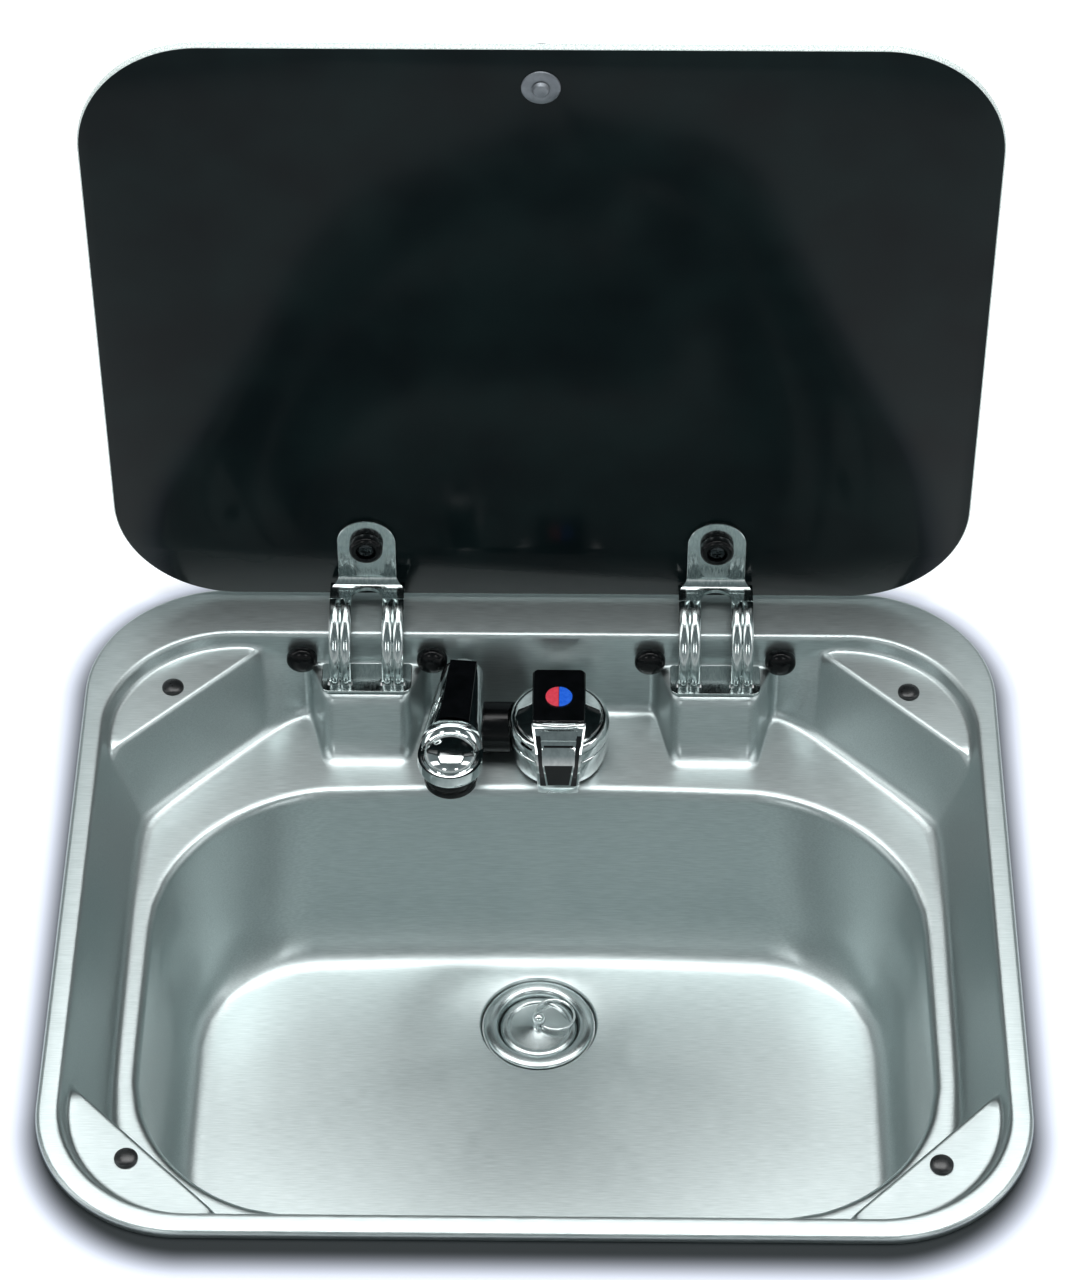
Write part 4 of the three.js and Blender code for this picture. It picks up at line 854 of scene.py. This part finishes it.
LIP = {"half": 11.7, "rear": -15.5, "bow": 1.5, "height": -11, "radius": 0.9}
# black let into the lever's front and sides: the places along the front, and each place's two edges
UPPER = LEVER_STEP.lerp(LEVER_BAND, 0.4)
FRONT_INLAYS = [
    ([LEVER_INLAY.lerp(LEVER_FOOT, 0.07), LEVER_INLAY.lerp(LEVER_FOOT, 0.9)], [(-6.6, 6.6), (-4.8, 4.8)]),
    ([LEVER_STEP.lerp(LEVER_BAND, 0.84), LEVER_STEP.lerp(LEVER_BAND, 0.95)], [(-6.8, 6.8), (-6.8, 6.8)]),
] + [([UPPER, LEVER_BAND, LEVER_INLAY, LEVER_INLAY.lerp(LEVER_FOOT, 0.93)],
      [sorted((sign * a, sign * b)) for a, b in ((8.6, 10.6), (7.7, 9.9), (7.5, 9.2), (5.7, 8.3))])
     for sign in (-1, 1)]


def lever_strip(places, halves, lift=0.12, sink=0.5):
    """A thin strip over the lever's front."""
    sections = []
    for i, (place, (left, right)) in enumerate(zip(places, halves)):
        run = (places[max(i - 1, 0)] - places[min(i + 1, len(places) - 1)]).normalized()
        out = Vector((-run.y, run.x))
        low, high = place - out * sink, place + out * lift
        sections.append([(left, *low), (right, *low), (right, *high), (left, *high)])
    return loft("strip", sections, TAP)


def make_lever():
    """Chrome lever with a bowed lip under its plate, a raised step, and black let into front and sides."""
    lever = refined("tap_lever", CHROME, 0.7)
    bow = []
    for k in range(25):
        along = k / 12 - 1
        middle = (LIP["rear"] - LIP["bow"] * (1 - along ** 2), LIP["height"])
        bow.append([(LIP["half"] * along, y, z) for y, z in arc(middle, (LIP["radius"],) * 2, 0, 330, 11)])
    tilt = (LEVER_STEP - LEVER_BAND).angle_signed(Vector((1, 0)))
    facet = TAP @ Matrix.Translation((0, *LEVER_STEP)) @ Matrix.Rotation(tilt, 4, "X")
    step = prism("step", [(-8.1, -6.6), (8.1, -6.6), (9.3, -1.3), (-9.3, -1.3)],
                 [(0, -0.5), (0, 0.3), (0.5, 0.85)], facet)
    merged(lever, loft("lip", bow, TAP), step)
    shade(lever.data)
    inlays = joined("black_lever_inlays", [lever_strip(*strip) for strip in FRONT_INLAYS])
    dress(inlays, INLAY, "lever_front_inlay")


dress(turned("turned_tap_body", [
    (12.5, -46.6), (21.5, -46.6), (22.4, -42), (23.2, -34), (23.2, -31.7), (22.2, -31.3), (22.2, -30.4),
    (23.6, -30), (23.6, -24.9), (22.8, -23.2), (21.8, -21.9), (20.8, -21.9), (20.6, -22.6), (17.5, -22.6),
    (17.5, -43.6), (12.5, -43.6)], TAP, 128, 0.4), CHROME, "tap_body")
dress(turned("turned_cartridge_cover", [
    (9, -22.3), (20.3, -22.3), (20.3, -21.8), (19.2, -21.4), (14, -20.4), (9.6, -19.9), (9, -20.3)],
    TAP, 128, 0.2), CHROME, "cartridge_cover")
refined("lever_top_inlay", INLAY, 0.25)
make_lever()
refined("hot_mark", RED, 0.08)
refined("cold_mark", BLUE, 0.08)
refined("tap_link", PLASTIC, 0.4)
refined("spout_base", CHROME, 0.5)


# ---- spout --------------------------------------------------------------------------

REAR_R, FRONT_R = 10.3, 15
SPOUT_RUN = math.hypot(SPOUT_AXIS.x - SPOUT_FRONT.x, SPOUT_AXIS.y - SPOUT_FRONT.y)
OUTLET = SPOUT @ Matrix.Translation((0, -SPOUT_RUN, 0))


def spout_outline(steps=40):
    """Two arcs and their common tangents."""
    lean = math.degrees(math.asin((FRONT_R - REAR_R) / SPOUT_RUN))
    return (arc((0, 0), (REAR_R, REAR_R), lean, 180 - lean, steps)
            + arc((0, -SPOUT_RUN), (FRONT_R, FRONT_R), 180 - lean, 360 + lean, steps))


def inlay_outline(inset, steps=24):
    """Straight at the rear, hollow at the front where it follows the round cap."""
    rear, half_rear, half_front, cap = 5.4 - inset, 6.5 - inset, 7.5 - inset, 16.4 + inset
    out = [(half_rear, rear), (-half_rear, rear)]
    for k in range(2 * steps + 1):
        x = half_front * (k / steps - 1)
        out.append((x, math.sqrt(cap ** 2 - x ** 2) - SPOUT_RUN))
    return out


def make_spout():
    """A tapered chrome bar with round shoulders, a pocket for the inlay, a domed front end and a spigot."""
    top, low, belt, foot_bend, shoulder = -6.6, -22, -14, 3.4, 6
    layers = arc((foot_bend, low + foot_bend), (foot_bend, foot_bend), 270, 180, 9)
    layers += arc((shoulder, belt), (shoulder, top - belt), 180, 90, 9)
    body = prism("tapered_spout", spout_outline(), layers, SPOUT)
    carve(body, round_tool(FRONT_R + 0.6, -13.4, 2, OUTLET, 96))
    cap = turned("cap", [(0, -19), (14.8, -19), (14.8, -14.9), (14.3, -13.7), (13.3, -13.1), (12.6, -13.4)]
                 + arc((0, -13.2), (12.2, 5.4), 0, 80, 8) + [(0, -7.8)], OUTLET, 96, 0)
    merged(body, round_tool(6, -34, low + 3, SPOUT), cap)
    carve(body, prism("tool", inlay_outline(0), [(0, top - 1.1), (0, top + 2)], SPOUT))
    dress(body, CHROME, "spout", 40)
    inlay_low = top - 0.9
    inlay = prism("black_spout_inlay", inlay_outline(0.25),
                  [(0, inlay_low), (0, inlay_low + 0.75), (0.25, inlay_low + 1)], SPOUT)
    dress(inlay, INLAY, "spout_inlay", 40)


make_spout()
dress(turned("ribbed_aerator", [
    (9, -31), (11.6, -31), (12.3, -30.3), (12.3, -27.2), (11.9, -26.9), (11.9, -26.4), (12.3, -26.1),
    (12.3, -22.2), (9, -22.2)], OUTLET, 96, 0.2), PLASTIC, "spout_aerator")


# ---- waste and plug -----------------------------------------------------------------

RING = {"radius": 9.3, "wire": 0.7, "turn": 36, "tilt": 5.8, "rise": 0.8}
RING_HOLE = (WASTE @ Matrix.Translation((0, 0, RING["rise"]))
             @ Matrix.Rotation(math.radians(RING["turn"]), 4, "Z"))
POST = {"radius": 2.4, "foot": -1.4, "bore": 1.15, "ball": 3.05, "ball_z": 3.6}


def make_flange():
    """Polished flange, crowned, with a cup; six slots let the water through the cup's floor."""
    cup = turned("spun_drain_flange", [(2.5, -12.6), (21.4, -12.6), (21.4, -1.1), (26, -1.1)]
                 + arc((22.7, -1.1), (3.3, 1.4), 15, 165, 10)
                 + [(19, -2), (18.5, -5), (18.5, -10.6), (2.5, -10.6)], WASTE, 128, 0.3)
    slots = [box_tool((6.5, -2.6, -15), (15.5, 2.6, -8), WASTE @ Matrix.Rotation(math.pi / 3 * k, 4, "Z"))
             for k in range(6)]
    carve(cup, *slots)
    dress(cup, TURNED, "drain_flange")


def make_plug():
    """Turned disc, a flat cone inside a round rim, and a post drilled for the ring with a ball on top."""
    outline = [(0, -6.2), (15.9, -6.2), (15.9, -4.6), (18, -4.6)] + arc((15.4, -4.1), (2.8, 2.2), 0, 110, 11)
    outline += [(13.6, -2.7), (POST["radius"] + 0.5, POST["foot"] - 0.3), (POST["radius"], POST["foot"])]
    outline += arc((0, POST["ball_z"]), (POST["ball"], POST["ball"]), -36, 72, 9)
    disc = turned("turned_plug", outline + [(0, POST["ball_z"] + POST["ball"])], WASTE, 96, 0.1)
    across = Matrix.Rotation(math.pi / 2, 4, "Z") @ Matrix.Rotation(math.pi / 2, 4, "Y")
    carve(disc, round_tool(POST["bore"], -6, 6, RING_HOLE @ across, 24))
    disc.data.materials.append(TURNED)
    disc.data.materials.append(CHROME)
    polished_above = (WASTE @ Vector((0, 0, POST["foot"] - 0.2))).z * MM
    for face in disc.data.polygons:
        face.material_index = 1 if face.center.z > polished_above else 0
    dress(disc, TURNED, "plug", 40)


def make_ring():
    """Wire ring through the post, lying on the plug's rim."""
    at = (RING_HOLE @ Matrix.Rotation(math.radians(RING["tilt"]), 4, "Y")
          @ Matrix.Translation((RING["radius"], 0, 0)))
    big, small = 96, 16
    verts, faces = [], []
    for i in range(big):
        a = 2 * math.pi * i / big
        for j, (r, z) in enumerate(arc((RING["radius"], 0), (RING["wire"],) * 2, 0, 360, small)[:-1]):
            verts.append((r * math.cos(a), r * math.sin(a), z))
            n, m = (i + 1) % big, (j + 1) % small
            faces.append((i * small + j, n * small + j, n * small + m, i * small + m))
    dress(new_object("wire_pull_ring", verts, faces, at), CHROME, "plug_ring")


make_flange()
make_plug()
make_ring()


# ---- everything else keeps its CAD form with finished edges -------------------------

EDGE = {"rim_gasket": 0.4, "drain_body": 0.5, "tap_nut": 0.5, "tap_shank": 0.4}
for node in sorted(nodes):
    if not nodes[node].hide_render:
        refined(node, FINISH[slot_of[node]], EDGE.get(node, 0.15))


# ---- worktop, light and background --------------------------------------------------

def vector_math(tree, operation, first, second=None):
    """One vector operation, with a fed first value and a constant second one."""
    return add_node(tree, "ShaderNodeVectorMath", {"operation": operation},
                    {} if second is None else {1: second}, {0: first}).outputs


def painted_shadow_round_sink(tree):
    """The fade of a painted shadow round the sink, from the distance to the cut-out: 0 beside the rim, 1 from some
    30 mm out, furthest in front.
    """
    corner, side, front, rear, fade = 66, 208, -193, 182, 24
    place = add_node(tree, "ShaderNodeTexCoord").outputs["Object"]
    moved = vector_math(tree, "SUBTRACT", place, Vector((0, (front + rear) / 2, 0)) * MM)
    folded = vector_math(tree, "ABSOLUTE", moved[0])
    core = Vector((side - corner, (rear - front) / 2 - corner, 1)) * MM
    outside = vector_math(tree, "MAXIMUM", vector_math(tree, "SUBTRACT", folded[0], core)[0], (0, 0, 0))
    return add_node(tree, "ShaderNodeMapRange", {"interpolation_type": "SMOOTHSTEP"},
                    {"From Min": (corner - 3) * MM, "From Max": (corner + fade) * MM},
                    {"Value": vector_math(tree, "LENGTH", outside[0])["Value"]}).outputs["Result"]


def make_worktop():
    """A plain pale worktop with the sink's cut-out and a painted shadow and halo round it. Seen from below it is
    clear.
    """
    half = 4000
    hole = round_rect(203.5, -178.5, 178.5, 61, 16)
    outline = [(-half, -half), (half, -half), (half, half), (-half, half)] + hole
    obj = new_object("worktop", [(x, y, 0) for x, y in outline], [])
    bm = bmesh.new()
    bm.from_mesh(obj.data)
    bm.verts.ensure_lookup_table()
    loops = [bm.verts[:4], bm.verts[4:]]
    edges = [bm.edges.new((loop[i], loop[(i + 1) % len(loop)])) for loop in loops for i in range(len(loop))]
    bmesh.ops.triangle_fill(bm, edges=edges, use_beauty=True, normal=(0, 0, 1))
    bm.to_mesh(obj.data)
    bm.free()
    material, tree, shader = surface("pale_worktop_with_painted_shadow", {"Roughness": 0.6, "Specular IOR Level": 0.2})
    painted_shadow_fade = painted_shadow_round_sink(tree)
    # Painted shadow in the worktop's colour: near black beside the rim, a painted bluish-grey halo, then white
    # further out. The emission below takes the same colour, so it carries the painted shadow too.
    tint = ramp(tree, painted_shadow_fade, linear("#1d2224"), linear("#f9fafc"), (0.0, 1.0))
    tint.node.color_ramp.elements.new(0.45).color = linear("#c0c4d0")
    tree.links.new(tint, shader.inputs["Base Color"])
    path = add_node(tree, "ShaderNodeLightPath")
    seen = add_node(tree, "ShaderNodeMath", {"operation": "MAXIMUM"},
                    links={0: path.outputs["Is Camera Ray"], 1: path.outputs["Is Glossy Ray"]})
    any_view = add_node(tree, "ShaderNodeMath", {"operation": "MAXIMUM"},
                        links={0: seen.outputs[0], 1: path.outputs["Is Transmission Ray"]})
    lift = add_node(tree, "ShaderNodeMath", {"operation": "MULTIPLY"}, {1: 0.45}, {0: any_view.outputs[0]})
    tree.links.new(tint, shader.inputs["Emission Color"])
    tree.links.new(lift.outputs[0], shader.inputs["Emission Strength"])
    below = add_node(tree, "ShaderNodeNewGeometry")
    clear = add_node(tree, "ShaderNodeBsdfTransparent")
    mixed = add_node(tree, "ShaderNodeMixShader", links={
        0: below.outputs["Backfacing"], 1: shader.outputs["BSDF"], 2: clear.outputs["BSDF"]})
    tree.links.new(mixed.outputs["Shader"], tree.nodes["Material Output"].inputs["Surface"])
    obj.data.materials.append(material)


def make_world():
    """A pale studio: near white at the horizon and duller overhead, which gives the metal its tones."""
    world = bpy.data.worlds.new("studio")
    bpy.context.scene.world = world
    world.use_nodes = True
    tree = world.node_tree
    tree.nodes.clear()
    place = add_node(tree, "ShaderNodeTexCoord")
    split = add_node(tree, "ShaderNodeSeparateXYZ", links={"Vector": place.outputs["Generated"]})
    height = ramp(tree, split.outputs["Z"], linear("#f7f9fa"), linear("#6f7b7d"), (0.0, 1.0))
    height.node.color_ramp.elements.new(0.4).color = linear("#8e9a9c")
    room = add_node(tree, "ShaderNodeBackground", inputs={"Strength": 0.75}, links={"Color": height})
    out = add_node(tree, "ShaderNodeOutputWorld")
    tree.links.new(room.outputs["Background"], out.inputs["Surface"])


def add_lamp(name, place, aim, size, watts):
    """A soft rectangular lamp."""
    data = bpy.data.lights.new(name, "AREA")
    data.shape = "RECTANGLE"
    data.size, data.size_y = size
    data.energy = watts
    lamp = bpy.data.objects.new(name, data)
    lamp.location = place
    lamp.rotation_euler = (Vector(aim) - Vector(place)).to_track_quat("-Z", "Y").to_euler()
    bpy.context.scene.collection.objects.link(lamp)


make_worktop()
make_world()
add_lamp("overhead_softbox", (0, 0.25, 1.3), (0, 0, -0.1), (1.3, 0.7), 16.5)
add_lamp("left_softbox", (-1.3, -0.2, 1.0), (0, 0, 0), (0.5, 1.2), 4)
add_lamp("right_softbox", (1.3, -0.2, 1.0), (0, 0, 0), (0.5, 1.2), 4)
add_lamp("front_left_window", (-0.6, -1.2, 0.85), (0, 0, 0), (0.3, 0.4), 1.6)
add_lamp("front_right_window", (0.6, -1.2, 0.85), (0, 0, 0), (0.3, 0.4), 1.6)
bpy.context.scene.view_settings.view_transform = "Standard"
